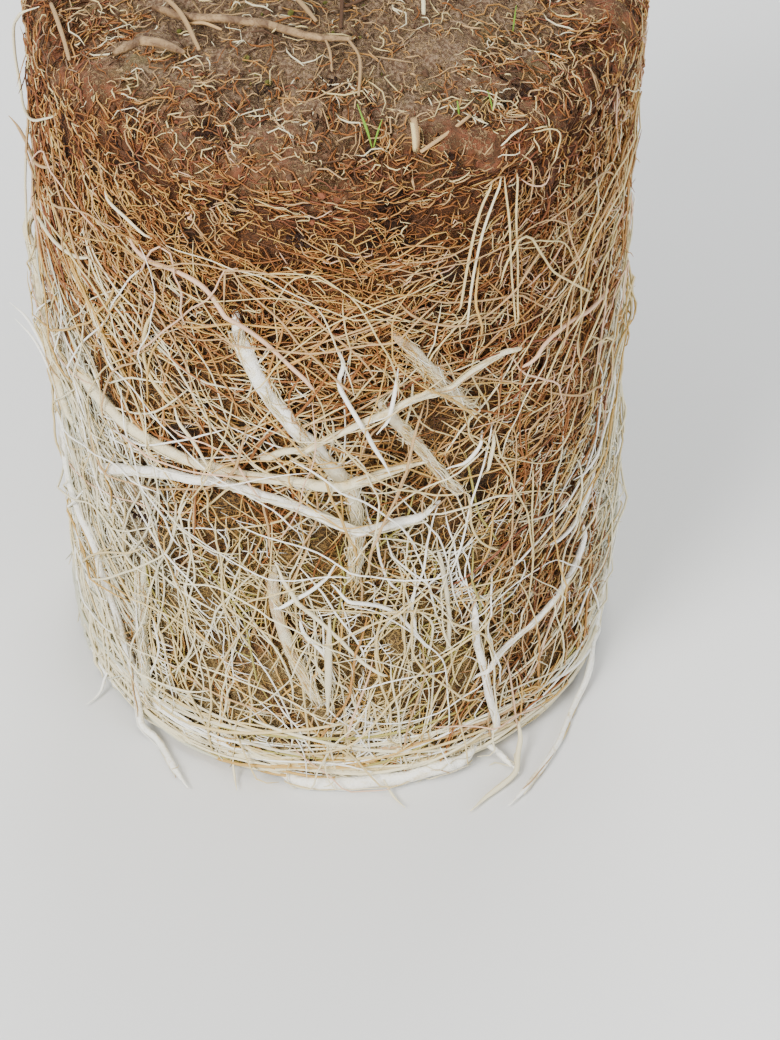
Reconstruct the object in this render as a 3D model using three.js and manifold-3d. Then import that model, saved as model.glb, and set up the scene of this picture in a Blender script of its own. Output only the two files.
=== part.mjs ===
// A young broadleaf tree lifted from its nursery container: a tall root ball wrapped in its own roots, a slim
// trunk, seven boughs and eight masses of foliage. Millimetres, +Z up, origin at the middle of the flat
// underside of the root ball. Angles round the ball are in degrees from the front (-Y) towards the right (+X).
import * as THREE from "three";
import { mergeVertices } from "three/addons/utils/BufferGeometryUtils.js";
import Module from "manifold-3d";

const wasm = await Module();
wasm.setup();

const SEAT = 0.3; // clearance between pieces that touch
const TURN = 137.5; // degrees from one side shoot to the next

// The root ball is a little narrower at its foot, as its container was, with a slumped rim.
const BALL = {
  footRadius: 162.5,
  topRadius: 171.5,
  height: 489,
  footEdge: 9,
  edgeHeight: 12,
  rimDepth: 20,
  rimDrop: 8,
  rimSlump: 9,
  slumpAt: 5,
  slumpHalf: 42,
  around: 50,
  sideRows: 11,
};
const FOOT_DISC = { x: 2, y: 6, radius: 33, height: 492 }; // level soil under the trunk
const RELIEF = [
  { depth: 1.9, around: 3, rise: 0.014, phase: 0.4 },
  { depth: 1.3, around: 5, rise: -0.024, phase: 2.1 },
  { depth: 0.9, around: 8, rise: 0.033, phase: 4.0 },
];
const SOIL_WAVES = [
  { depth: 2.6, alongX: 0.031, alongY: 0.017, phase: 0.8 },
  { depth: 1.9, alongX: -0.022, alongY: 0.043, phase: 2.9 },
  { depth: 1.1, alongX: 0.063, alongY: 0.051, phase: 5.1 },
];

// Main roots on the ball, laid in this order, so that each passes over those before it. A route point is
// [degrees round, height] or [degrees round, height, distance out from the ball].
const CREAM = 0xd9cba6;
const WHITE = 0xe9e3d2;
const BEIGE = 0xc2a878;
const ROOTS = [
  {
    name: "root_buried_beige",
    thick: 7,
    colour: BEIGE,
    route: [[-14, 190], [-13, 150], [-10, 116], [-6, 86], [-3, 64]],
  },
  {
    name: "root_white_diagonal",
    thick: 9,
    colour: WHITE,
    route: [[-20, 378], [-18, 356], [-14, 328], [-9, 302], [-3, 274], [2, 248], [3, 205], [1, 160]],
  },
  {
    name: "root_thick_beige",
    thick: 8,
    colour: BEIGE,
    route: [[8, 370], [13, 352], [17, 332], [22, 311], [29, 284]],
  },
  {
    name: "root_lower_beige",
    thick: 6.5,
    colour: BEIGE,
    route: [[5, 324], [10, 301], [15, 276], [20, 249], [26, 222]],
  },
  {
    name: "root_left_pale",
    thick: 8,
    colour: CREAM,
    route: [[-43, 162], [-44.5, 110], [-45, 57], [-44, 12]],
  },
  {
    name: "root_lower_swag",
    thick: 6.5,
    colour: WHITE,
    route: [[-58, 198], [-50, 213], [-41, 230], [-31, 241], [-19, 243], [-8, 233], [2, 226], [12, 221], [21, 226]],
  },
  {
    name: "root_upper_swag",
    thick: 6.5,
    colour: CREAM,
    route: [[-65, 272], [-55, 266], [-45, 259], [-33, 255], [-20, 254], [-8, 257], [4, 262], [16, 270]],
  },
  {
    name: "root_long_crossing",
    thick: 4,
    colour: CREAM,
    route: [[-17, 261], [-8, 285], [2, 301], [12, 317], [22, 326], [32, 329], [39, 321]],
  },
  {
    name: "root_base_ring",
    thick: 9.5,
    colour: WHITE,
    route: [[-17, 5, 0.5], [-4, 5, 0.5], [8, 5, 0.5], [19, 7, 0.5], [27, 8.5, 0.5], [32.5, 10, 0.5]],
    branches: [
      { thick: 7, route: [[31, 9, 2.2], [33, 6, 9], [33.6, 4, 20], [33.4, 4, 28]] },
      { thick: 5, route: [[32, 9, 2], [34, 24, 0.4], [32.5, 48], [30, 85], [28, 115], [27.5, 145]] },
    ],
  },
  {
    name: "root_right_long",
    thick: 4,
    colour: WHITE,
    route: [[61, 143], [59, 120], [54, 106], [45, 94], [36, 88], [31, 79], [28.5, 68]],
  },
  {
    name: "root_left_long",
    thick: 5,
    colour: WHITE,
    route: [
      [-94, 300], [-91, 232], [-82, 172], [-70, 150], [-60, 138], [-56, 112],
      [-52, 74], [-50, 44, 0.3], [-48, 18, 1.4], [-44, 4, 5], [-38, 3, 14], [-29.5, 3, 30],
    ],
  },
  {
    name: "root_right_hanging",
    thick: 3.6,
    colour: WHITE,
    route: [[84, 118], [81, 76, 0.4], [75, 40, 0.6], [66, 14, 3], [56, 3, 13], [40, 3, 32], [28, 3, 49]],
  },
];
// Roots at the back and sides, out of a seeded walk that swings down and round the ball.
const BACK_ROOTS = { count: 6, seed: 71, first: 108, step: 27, points: 7, swing: 9, fall: 26 };
const ROOT_STEP = 6; // spacing of the points that settle how roots cross
const TUBE_STEP = 14; // spacing of the rings of a root's surface
const ROOT_SIDES = 6;
const CROSSING = 1.1; // clearance where one root passes over another
const SAG = 0.22; // how fast a root comes back down to the ball after a crossing

// Dry stems lying on the soil: [x, y] points.
const LITTER_LIFT = 0.35;
const LITTER = [
  { name: "dry_stem_on_soil", thick: 6, route: [[-98, -36], [-80, -48], [-58, -56], [-36, -66], [-14, -80], [10, -82]] },
  { name: "dry_stub_on_soil", thick: 7, route: [[-118, -80], [-104, -70], [-92, -72], [-80, -82]] },
];

const TRUNK = {
  route: [[2, 6, 0], [3, 6, 60], [14, 2, 220], [2, 0, 470], [-12, 10, 760], [2, 16, 1010], [-4, 8, 1210]],
  footRadius: 15.5,
  tipRadius: 4.6,
  flare: 8.5,
  flareReach: 26,
  lobes: 5,
  lobeDepth: 0.16,
  sides: 10,
  steps: 24,
};
const BOUGHS = {
  count: 7,
  first: 430,
  spacing: 100,
  turn0: 38,
  length: 250,
  shorter: 17,
  rise: 24,
  steeper: 5,
  lift: 20,
  radius: 6.6,
  thinner: 0.45,
  tipShare: 0.6,
  sides: 6,
  steps: 6,
};
const FOLIAGE = {
  seed: 4021,
  stemLength: 300,
  stemShorter: 13,
  leaderLength: 290,
  stemGap: 0.5,
  stemRadius: 3.2,
  twigRadius: 1.9,
  tipShare: 0.55,
  twigs: 7,
  twigFirst: 0.06,
  twigLength: 205,
  twigTaper: 0.5,
  spread: 50,
  curl: 0.2,
  jitter: 0.16,
  twigLeaves: 4,
  stemLeaves: 3,
  margin: 3,
  sides: 3,
  steps: 3,
};
const LEAF = {
  length: 122,
  width: 56,
  thick: 2.6,
  belly: 0.44,
  sink: 6,
  splay: 52,
  droop: 0.42,
  roll: 1.5,
  apart: 60,
};
const CROWN = { middle: [0, 6, 1480], across: 490, tall: 690 };

const UP = new THREE.Vector3(0, 0, 1);
const radians = THREE.MathUtils.degToRad;
const mix = THREE.MathUtils.lerp;

// A seeded row of numbers from 0 to 1.
function draws(seed) {
  let state = seed >>> 0;
  const next = () => {
    state = (Math.imul(state, 1664525) + 1013904223) >>> 0;
    return state / 4294967296;
  };
  next();
  next();
  return next;
}

function childSeed(seed, index) {
  return (Math.imul(seed, 31) + Math.imul(index + 1, 7919) + 17) >>> 0;
}

function toSolid(geometry) {
  const bare = geometry.clone();
  bare.deleteAttribute("normal");
  bare.deleteAttribute("uv");
  const merged = mergeVertices(bare, 1e-3);
  return new wasm.Manifold(
    new wasm.Mesh({
      numProp: 3,
      vertProperties: new Float32Array(merged.attributes.position.array),
      triVerts: new Uint32Array(merged.index.array),
    }),
  );
}

function toGeometry(solid) {
  const mesh = solid.getMesh();
  const geometry = new THREE.BufferGeometry();
  geometry.setAttribute("position", new THREE.BufferAttribute(new Float32Array(mesh.vertProperties), 3));
  geometry.setIndex(new THREE.BufferAttribute(new Uint32Array(mesh.triVerts), 1));
  geometry.computeVertexNormals();
  return geometry;
}

function join(solids) {
  return solids.reduce((whole, piece) => whole.add(piece));
}

// The one largest body of a solid, with any loose scrap dropped.
function largest(solid) {
  return solid.decompose().sort((a, b) => b.volume() - a.volume())[0];
}

function piece(name, geometry, colour, roughness) {
  const material = new THREE.MeshStandardMaterial({ color: colour, roughness, metalness: 0 });
  const mesh = new THREE.Mesh(geometry, material);
  mesh.name = name;
  return mesh;
}

// A closed round limb along a curve, whose radius is a function of the share of its length and the angle
// round it. levelFoot cuts its lower end flat.
function limb(curve, radiusAt, sides, steps, levelFoot = false) {
  const geometry = new THREE.CylinderGeometry(1, 1, 1, sides, steps);
  const frames = curve.computeFrenetFrames(steps, false);
  const position = geometry.attributes.position;
  const vertex = new THREE.Vector3();
  for (let i = 0; i < position.count; i += 1) {
    vertex.fromBufferAttribute(position, i);
    const share = vertex.y + 0.5;
    const ring = Math.round(share * steps);
    const across = Math.hypot(vertex.x, vertex.z);
    const angle = Math.atan2(vertex.z, vertex.x);
    const radius = radiusAt(ring / steps, angle) * across;
    const point = curve.getPointAt(ring / steps);
    point.addScaledVector(frames.normals[ring], -Math.cos(angle) * radius);
    point.addScaledVector(frames.binormals[ring], Math.sin(angle) * radius);
    if (levelFoot && ring === 0) point.z = curve.getPointAt(0).z;
    position.setXYZ(i, point.x, point.y, point.z);
  }
  return toSolid(geometry);
}

// The root ball
function relief(round, z) {
  return RELIEF.reduce((sum, w) => sum + w.depth * Math.cos(w.around * round + w.rise * z + w.phase), 0);
}

// The rounding of the bottom edge, as a distance in from the straight side.
function edgeInset(z) {
  const below = Math.max(0, 1 - z / BALL.edgeHeight);
  return BALL.footEdge * below * below;
}

function ballRadius(round, z) {
  const straight = mix(BALL.footRadius, BALL.topRadius, z / BALL.height);
  return straight - edgeInset(z) + relief(round, z) * Math.min(1, z / 40);
}

function rimDrop(round) {
  const away = Math.abs(THREE.MathUtils.radToDeg(round) - BALL.slumpAt) / BALL.slumpHalf;
  return BALL.rimDrop + (away < 1 ? BALL.rimSlump * 0.5 * (1 + Math.cos(Math.PI * away)) : 0);
}

function soilHeight(x, y) {
  const waves = SOIL_WAVES.reduce(
    (sum, w) => sum + w.depth * Math.cos(w.alongX * x + w.alongY * y + w.phase),
    0,
  );
  const fromFoot = Math.hypot(x - FOOT_DISC.x, y - FOOT_DISC.y) - FOOT_DISC.radius;
  const share = THREE.MathUtils.smoothstep(fromFoot, 0, 30);
  return mix(FOOT_DISC.height, BALL.height + waves, share);
}

// The soil falls away a little towards the slumped rim.
function soilSurface(x, y) {
  const slope = THREE.MathUtils.smoothstep(Math.hypot(x, y), 78, 150);
  return soilHeight(x, y) - slope * 0.5 * rimDrop(Math.atan2(x, -y));
}

function buildBall() {
  const profile = [new THREE.Vector2(0, 0), new THREE.Vector2(80, 0)];
  profile.push(new THREE.Vector2(BALL.footRadius - BALL.footEdge, 0));
  profile.push(new THREE.Vector2(BALL.footRadius - edgeInset(4), 4));
  const rimStart = BALL.height - BALL.rimDepth;
  for (let row = 0; row <= BALL.sideRows; row += 1) {
    const z = mix(BALL.edgeHeight, rimStart, row / BALL.sideRows);
    profile.push(new THREE.Vector2(mix(BALL.footRadius, BALL.topRadius, z / BALL.height), z));
  }
  profile.push(new THREE.Vector2(BALL.topRadius - 4, BALL.height - 8));
  profile.push(new THREE.Vector2(BALL.topRadius - 14, BALL.height - 1));
  for (const radius of [138, 108, 78, 52, 30, 0]) profile.push(new THREE.Vector2(radius, BALL.height));
  const geometry = new THREE.LatheGeometry(profile, BALL.around);
  geometry.rotateX(Math.PI / 2);
  const position = geometry.attributes.position;
  for (let i = 0; i < position.count; i += 1) {
    const x = position.getX(i);
    const y = position.getY(i);
    const z = position.getZ(i);
    const round = Math.atan2(x, -y);
    const radius = Math.hypot(x, y);
    if (z < 0.01) continue;
    if (radius > 140) {
      const straight = mix(BALL.footRadius, BALL.topRadius, z / BALL.height);
      const scale = z < BALL.edgeHeight ? 1 : (radius + ballRadius(round, z) - straight) / radius;
      const nearRim = THREE.MathUtils.smoothstep(z, rimStart - 30, BALL.height);
      const shift = nearRim * (soilHeight(x, y) - BALL.height) * 0.6 - nearRim * rimDrop(round);
      position.setXYZ(i, x * scale, y * scale, z + shift);
    } else {
      position.setXYZ(i, x, y, soilSurface(x, y));
    }
  }
  return toSolid(geometry);
}

// Main roots
function ballPoint(degrees, z, distance) {
  const round = radians(degrees);
  const radius = ballRadius(round, z) + distance;
  return new THREE.Vector3(radius * Math.sin(round), -radius * Math.cos(round), z);
}

function evenRoute(root, spacing) {
  const controls = root.route.map(([degrees, z, out = 0]) => new THREE.Vector3(degrees, z, out));
  const drawn = new THREE.CatmullRomCurve3(controls);
  const radius = root.thick / 2;
  const place = (share) => {
    const at = drawn.getPoint(share);
    return ballPoint(at.x, Math.max(at.y, radius + SEAT), at.z + radius + SEAT);
  };
  const lengths = [0];
  const fine = 200;
  for (let i = 1; i <= fine; i += 1) {
    lengths.push(lengths[i - 1] + place(i / fine).distanceTo(place((i - 1) / fine)));
  }
  const count = Math.round(lengths[fine] / spacing);
  const points = [];
  let j = 0;
  for (let i = 0; i <= count; i += 1) {
    const target = (lengths[fine] * i) / count;
    while (j < fine - 1 && lengths[j + 1] < target) j += 1;
    const share = (j + (target - lengths[j]) / (lengths[j + 1] - lengths[j])) / fine;
    points.push(place(share));
  }
  return { points, radius, length: lengths[fine] };
}

// How far each point of a root has to rise to pass over the roots laid before it.
function risesOver(run, laid) {
  const rises = run.points.map((point) => {
    let rise = 0;
    for (const other of laid) {
      const clear = run.radius + other.radius + CROSSING;
      for (let k = 0; k < other.base.length; k += 1) {
        const apart = point.distanceTo(other.base[k]);
        if (apart >= clear) continue;
        const height = other.radius + other.rises[k] + Math.sqrt(clear * clear - apart * apart);
        rise = Math.max(rise, height - run.radius);
      }
    }
    return rise;
  });
  const settled = rises.slice();
  for (let pass = 0; pass < 60; pass += 1) {
    for (let i = 0; i < settled.length; i += 1) {
      const before = settled[Math.max(0, i - 1)];
      const after = settled[Math.min(settled.length - 1, i + 1)];
      settled[i] = Math.max(rises[i], 0.5 * (before + after) - SAG);
    }
  }
  return settled;
}

function raised(run) {
  const points = run.base.map((point, i) => {
    const level = Math.hypot(point.x, point.y);
    const scale = (level + run.rises[i]) / level;
    return new THREE.Vector3(point.x * scale, point.y * scale, point.z);
  });
  return new THREE.CatmullRomCurve3(points);
}

function layRoot(root, laid) {
  const run = evenRoute(root, ROOT_STEP);
  run.base = run.points;
  run.rises = risesOver(run, laid);
  run.curve = raised(run);
  const endTaper = 18 / run.length;
  const radiusAt = (share) => {
    const fromEnd = Math.min(share, 1 - share) / endTaper;
    return run.radius * mix(1.04, 0.86, share) * mix(0.45, 1, Math.min(1, fromEnd));
  };
  const steps = Math.round(run.length / TUBE_STEP);
  run.solid = limb(run.curve, radiusAt, ROOT_SIDES, steps);
  return run;
}

function backRoots() {
  const thicknesses = [7, 5, 6, 4.5, 8, 5.5];
  const roots = [];
  for (let k = 0; k < BACK_ROOTS.count; k += 1) {
    const draw = draws(childSeed(BACK_ROOTS.seed, k));
    let degrees = BACK_ROOTS.first + BACK_ROOTS.step * k;
    let z = mix(250, 420, draw());
    const way = draw() < 0.5 ? -1 : 1;
    const route = [];
    for (let i = 0; i < BACK_ROOTS.points; i += 1) {
      route.push([degrees, z]);
      degrees += way * BACK_ROOTS.swing * mix(0.4, 1.5, draw());
      z -= BACK_ROOTS.fall * mix(0.1, 1.6, draw());
    }
    roots.push({ name: `root_back_${k + 1}`, thick: thicknesses[k], colour: CREAM, route });
  }
  return roots;
}

function buildRoots() {
  const laid = [];
  const meshes = [];
  for (const root of [...ROOTS, ...backRoots()]) {
    const runs = [layRoot(root, laid)];
    for (const branch of root.branches ?? []) runs.push(layRoot(branch, laid));
    laid.push(...runs);
    const solid = join(runs.map((run) => run.solid));
    meshes.push(piece(root.name, toGeometry(solid), root.colour, 0.7));
  }
  return meshes;
}

function buildLitter() {
  return LITTER.map((stem) => {
    const radius = stem.thick / 2;
    const points = stem.route.map(([x, y]) => new THREE.Vector3(x, y, soilSurface(x, y) + radius + LITTER_LIFT));
    const curve = new THREE.CatmullRomCurve3(points);
    const solid = limb(curve, (share) => radius * mix(1, 0.6, share), ROOT_SIDES, 8);
    return piece(stem.name, toGeometry(solid), 0xa98d6b, 0.85);
  });
}

// Trunk and boughs
const trunkCurve = new THREE.CatmullRomCurve3(
  TRUNK.route.map(([x, y, z]) => new THREE.Vector3(x, y, FOOT_DISC.height + SEAT + z)),
);
const trunkLength = trunkCurve.getLength();

function trunkRadius(share, angle = 0) {
  const above = share * trunkLength;
  const flare = Math.exp(-above / TRUNK.flareReach);
  const lobes = 1 + TRUNK.lobeDepth * flare * Math.cos(TRUNK.lobes * angle);
  return (mix(TRUNK.footRadius, TRUNK.tipRadius, share) + TRUNK.flare * flare) * lobes;
}

function buildTrunk(extra) {
  const radiusAt = (share, angle) => trunkRadius(share, angle) + extra;
  return limb(trunkCurve, radiusAt, TRUNK.sides, TRUNK.steps, true);
}

function boughCurve(index) {
  const share = (BOUGHS.first + BOUGHS.spacing * index) / trunkLength;
  const start = trunkCurve.getPointAt(share);
  const round = radians(BOUGHS.turn0 + TURN * index);
  const length = BOUGHS.length - BOUGHS.shorter * index;
  const outward = new THREE.Vector3(Math.sin(round), -Math.cos(round), 0);
  const points = [start];
  const parts = 4;
  for (let k = 0; k < parts; k += 1) {
    const slope = radians(BOUGHS.rise + BOUGHS.steeper * index + (BOUGHS.lift * k) / (parts - 1));
    const step = outward.clone().multiplyScalar(Math.cos(slope)).addScaledVector(UP, Math.sin(slope));
    points.push(points[k].clone().addScaledVector(step, length / parts));
  }
  return new THREE.CatmullRomCurve3(points);
}

function boughRadius(index, share) {
  const base = BOUGHS.radius - BOUGHS.thinner * index;
  return base * mix(1, BOUGHS.tipShare, share) * (1 + 0.35 * Math.exp(-share * 9));
}

const boughCurves = Array.from({ length: BOUGHS.count }, (_, index) => boughCurve(index));

function buildBoughs(inflatedTrunk) {
  return boughCurves.map((curve, index) => {
    const whole = limb(curve, (share) => boughRadius(index, share), BOUGHS.sides, BOUGHS.steps);
    return largest(whole.subtract(inflatedTrunk));
  });
}

// Foliage: each mass grows from one stem, and a twig or leaf that would leave its space is skipped.
const stems = boughCurves.map((curve, index) => ({
  start: curve.getPointAt(1),
  along: curve.getTangentAt(1),
  length: FOLIAGE.stemLength - FOLIAGE.stemShorter * index,
}));
stems.push({ start: trunkCurve.getPointAt(1), along: trunkCurve.getTangentAt(1), length: FOLIAGE.leaderLength });
const massMiddles = stems.map((stem) => stem.start.clone().addScaledVector(stem.along, 0.62 * stem.length));

const limbPoints = [];
for (let i = 0; i <= 60; i += 1) {
  limbPoints.push({ at: trunkCurve.getPointAt(i / 60), radius: trunkRadius(i / 60) });
}
boughCurves.forEach((curve, index) => {
  for (let i = 0; i <= 18; i += 1) {
    limbPoints.push({ at: curve.getPointAt(i / 18), radius: boughRadius(index, i / 18) });
  }
});

function inSpace(point, mass) {
  const own = massMiddles[mass];
  const [x, y, z] = CROWN.middle;
  const reach = Math.hypot((point.x - x) / CROWN.across, (point.y - y) / CROWN.across, (point.z - z) / CROWN.tall);
  if (reach > 1) return false;
  return massMiddles.every((other, index) => {
    if (index === mass) return true;
    const apart = own.distanceTo(other);
    const past = (point.distanceToSquared(other) - point.distanceToSquared(own)) / (2 * apart);
    return past > FOLIAGE.margin;
  });
}

function clearOfLimbs(point, spare) {
  return limbPoints.every((limbPoint) => limbPoint.at.distanceTo(point) > limbPoint.radius + spare);
}

// A shoot's own line: it starts along its direction and curls up, with a seeded waver.
function shootCurve(start, along, length, draw) {
  const points = [start.clone()];
  const heading = along.clone();
  for (let k = 0; k < FOLIAGE.steps; k += 1) {
    heading.addScaledVector(UP, FOLIAGE.curl / FOLIAGE.steps);
    heading.x += FOLIAGE.jitter * (draw() - 0.5);
    heading.y += FOLIAGE.jitter * (draw() - 0.5);
    heading.z += FOLIAGE.jitter * (draw() - 0.5);
    heading.normalize();
    points.push(points[k].clone().addScaledVector(heading, length / FOLIAGE.steps));
  }
  return new THREE.CatmullRomCurve3(points);
}

// A unit direction at an angle from a heading, turned round it by a number of degrees.
function sideways(heading, turn, splay) {
  const across = new THREE.Vector3().crossVectors(heading, UP).normalize();
  across.applyAxisAngle(heading, radians(turn));
  return heading.clone().multiplyScalar(Math.cos(radians(splay))).addScaledVector(across, Math.sin(radians(splay)));
}

function leafPoints(root, along, length, roll) {
  const flat = new THREE.Vector3().crossVectors(along, UP).normalize().applyAxisAngle(along, roll);
  const top = new THREE.Vector3().crossVectors(flat, along).normalize();
  const at = (share, side, rise) =>
    root
      .clone()
      .addScaledVector(along, share * length - LEAF.sink)
      .addScaledVector(flat, (side * LEAF.width * length) / (2 * LEAF.length))
      .addScaledVector(top, rise * LEAF.thick);
  return {
    root: at(0, 0, 0),
    tip: at(1, 0, 0),
    left: at(LEAF.belly, -1, 0),
    right: at(LEAF.belly, 1, 0),
    upper: at(LEAF.belly, 0, 0.5),
    lower: at(LEAF.belly, 0, -0.5),
  };
}

// A leaf is a flattened octahedron: eight faces between its root, tip, two edges and two sides.
function leafSolid(points) {
  const geometry = new THREE.OctahedronGeometry(1);
  const position = geometry.attributes.position;
  const corners = [
    { axis: 0, sign: 1, to: points.tip },
    { axis: 0, sign: -1, to: points.root },
    { axis: 1, sign: 1, to: points.left },
    { axis: 1, sign: -1, to: points.right },
    { axis: 2, sign: 1, to: points.upper },
    { axis: 2, sign: -1, to: points.lower },
  ];
  for (let i = 0; i < position.count; i += 1) {
    const corner = corners.find((c) => position.getComponent(i, c.axis) * c.sign > 0.5);
    position.setXYZ(i, corner.to.x, corner.to.y, corner.to.z);
  }
  return toSolid(geometry);
}

function leafFits(points, mass, others) {
  const middle = points.upper;
  if (others.some((other) => other.distanceTo(middle) < LEAF.apart)) return false;
  const probes = [points.tip, points.left, points.right, middle];
  probes.push(middle.clone().lerp(points.tip, 0.5), points.left.clone().lerp(points.tip, 0.5));
  probes.push(points.right.clone().lerp(points.tip, 0.5));
  return probes.every((probe) => inSpace(probe, mass) && clearOfLimbs(probe, 13));
}

function addLeaves(shoot, count, mass, draw, pieces, others) {
  for (let k = 0; k <= count; k += 1) {
    const last = k === count;
    const share = last ? 0.99 : mix(0.25, 0.92, (k + 0.3 * draw()) / count);
    const heading = shoot.curve.getTangentAt(share);
    const turn = (k % 2 ? 180 : 0) + 60 * (draw() - 0.5);
    const along = last ? heading.clone() : sideways(heading, turn, LEAF.splay);
    along.z -= LEAF.droop + 0.3 * (draw() - 0.5);
    along.normalize();
    const length = LEAF.length * mix(0.8, 1, draw());
    const points = leafPoints(shoot.curve.getPointAt(share), along, length, LEAF.roll * (draw() - 0.5));
    if (!leafFits(points, mass, others)) continue;
    others.push(points.upper);
    pieces.push(leafSolid(points));
  }
}

function shootSolid(shoot) {
  const radiusAt = (share) => shoot.radius * mix(1, FOLIAGE.tipShare, share);
  return limb(shoot.curve, radiusAt, FOLIAGE.sides, FOLIAGE.steps);
}

function buildMass(mass) {
  const seed = childSeed(FOLIAGE.seed, mass);
  const draw = draws(seed);
  const { start, along, length } = stems[mass];
  const root = start.clone().addScaledVector(along, FOLIAGE.stemGap);
  const stem = { curve: shootCurve(root, along, length, draw), radius: FOLIAGE.stemRadius };
  const pieces = [shootSolid(stem)];
  const others = [];
  addLeaves(stem, FOLIAGE.stemLeaves, mass, draw, pieces, others);
  for (let k = 0; k < FOLIAGE.twigs; k += 1) {
    const twigDraw = draws(childSeed(seed, k));
    const share = mix(FOLIAGE.twigFirst, 0.93, k / (FOLIAGE.twigs - 1));
    const heading = stem.curve.getTangentAt(share);
    const out = sideways(heading, TURN * k + 40 * twigDraw(), FOLIAGE.spread);
    const twigLength = FOLIAGE.twigLength * mix(1, 1 - FOLIAGE.twigTaper, share) * mix(0.85, 1.1, twigDraw());
    const curve = shootCurve(stem.curve.getPointAt(share), out, twigLength, twigDraw);
    const twig = { curve, radius: FOLIAGE.twigRadius };
    const probes = [0.35, 0.6, 0.8, 1].map((at) => curve.getPointAt(at));
    if (!probes.every((probe) => inSpace(probe, mass) && clearOfLimbs(probe, 6))) continue;
    pieces.push(shootSolid(twig));
    addLeaves(twig, FOLIAGE.twigLeaves, mass, twigDraw, pieces, others);
  }
  return largest(join(pieces));
}

const sapling = new THREE.Group();
sapling.add(piece("root_ball", toGeometry(buildBall()), 0x8f6a3e, 0.95));
sapling.add(...buildRoots());
sapling.add(...buildLitter());
sapling.add(piece("trunk", toGeometry(buildTrunk(0)), 0x8a7a5c, 0.8));
buildBoughs(buildTrunk(SEAT)).forEach((solid, index) => {
  sapling.add(piece(`bough_${index + 1}`, toGeometry(solid), 0x86795a, 0.8));
});
stems.forEach((_, mass) => {
  const name = mass < BOUGHS.count ? `foliage_${mass + 1}` : "foliage_top";
  sapling.add(piece(name, toGeometry(buildMass(mass)), 0x4c7a2f, 0.6));
});

export default sapling;
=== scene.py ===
"""Dresses a young tree that stands out of its container, on its own root ball.

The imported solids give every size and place. This script adds the mat of fine roots round the ball, the
soil and litter on it, the bark, and the twigs and leaves, and sets a plain studio round them. Metres, +Z up.
"""

import logging
import math
from dataclasses import dataclass, field
from enum import Enum
from typing import Any, Callable, Sequence, Union

import bpy
import numpy as np
from mathutils import Matrix, Vector
from numpy.random import Generator, default_rng


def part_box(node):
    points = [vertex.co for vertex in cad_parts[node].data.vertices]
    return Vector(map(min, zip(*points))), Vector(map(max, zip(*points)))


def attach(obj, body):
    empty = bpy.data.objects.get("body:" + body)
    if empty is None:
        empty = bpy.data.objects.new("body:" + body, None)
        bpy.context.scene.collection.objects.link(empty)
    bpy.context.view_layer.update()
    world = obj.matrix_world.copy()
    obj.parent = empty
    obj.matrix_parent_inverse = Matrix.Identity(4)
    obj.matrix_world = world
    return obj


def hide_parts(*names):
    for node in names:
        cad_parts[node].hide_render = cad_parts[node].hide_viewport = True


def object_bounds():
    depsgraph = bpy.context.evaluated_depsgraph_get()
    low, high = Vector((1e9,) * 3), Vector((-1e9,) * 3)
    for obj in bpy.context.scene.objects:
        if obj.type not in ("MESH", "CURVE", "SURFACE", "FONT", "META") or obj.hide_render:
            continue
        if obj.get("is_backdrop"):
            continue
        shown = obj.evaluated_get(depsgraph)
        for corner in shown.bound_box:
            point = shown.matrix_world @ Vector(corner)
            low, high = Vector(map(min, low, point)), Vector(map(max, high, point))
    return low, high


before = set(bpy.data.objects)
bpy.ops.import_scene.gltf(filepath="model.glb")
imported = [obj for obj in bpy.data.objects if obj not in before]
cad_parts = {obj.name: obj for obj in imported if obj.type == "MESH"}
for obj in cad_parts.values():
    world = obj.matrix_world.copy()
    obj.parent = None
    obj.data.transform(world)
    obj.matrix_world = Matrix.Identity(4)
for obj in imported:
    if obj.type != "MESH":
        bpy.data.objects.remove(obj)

Array = np.ndarray
Span = tuple[float, float]
Waypoints = tuple[tuple[float, ...], ...]
Surface = tuple[Array, list[Array]]
Material = bpy.types.Material
Piece = bpy.types.Object
Dressing = list[tuple[Piece, list[str]]]
LOG = logging.getLogger("sapling")
CAD_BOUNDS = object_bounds()
MM = 0.001
TAU = 2 * math.pi
UP = np.array([0.0, 0.0, 1.0])
LEVEL = np.array([1.0, 1.0, 0.0])
BODY = "root"


class Tone(Enum):
    """The plain colours of roots, soil, bark and leaves, and of painted shade, as screen red, green and blue.
    """

    # The near-black below is painted shade, deep in the mat's holes; DARK serves both dark soil and painted
    # shade.
    PIT = (27, 15, 9)
    DARK = (50, 30, 19)
    EARTH = (96, 65, 43)
    RUST = (150, 100, 60)
    OCHRE = (184, 141, 88)
    GOLD = (202, 168, 106)
    TAN = (192, 161, 120)
    STRAW = (216, 197, 150)
    CREAM = (230, 221, 190)
    WHITE = (247, 245, 236)
    GREY = (206, 205, 186)
    BUFF = (214, 205, 178)
    OLIVE = (172, 162, 96)
    PINK = (222, 188, 160)
    CLAY = (134, 84, 60)
    DUST = (150, 128, 106)
    UMBER = (102, 77, 59)
    MOSS = (104, 104, 54)
    DRY = (176, 148, 112)
    SPROUT = (130, 168, 70)
    LEAF_DEEP = (50, 82, 32)
    LEAF_MID = (70, 108, 40)
    LEAF_FRESH = (98, 136, 54)
    LEAF_YOUNG = (136, 162, 72)
    LEAF_DULL = (84, 102, 48)
    TWIG = (96, 98, 58)
    BARK = (118, 104, 76)
    BARK_DARK = (78, 68, 50)
    BARK_PALE = (152, 140, 110)

    @property
    def linear(self) -> tuple[float, float, float, float]:
        """The tone in linear light, with full alpha."""
        parts = np.array(self.value) / 255
        return (*np.where(parts <= 0.04045, parts / 12.92, ((parts + 0.055) / 1.055) ** 2.4).tolist(), 1.0)


Value = Union["Wire", Tone, float, Sequence[float]]


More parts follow.
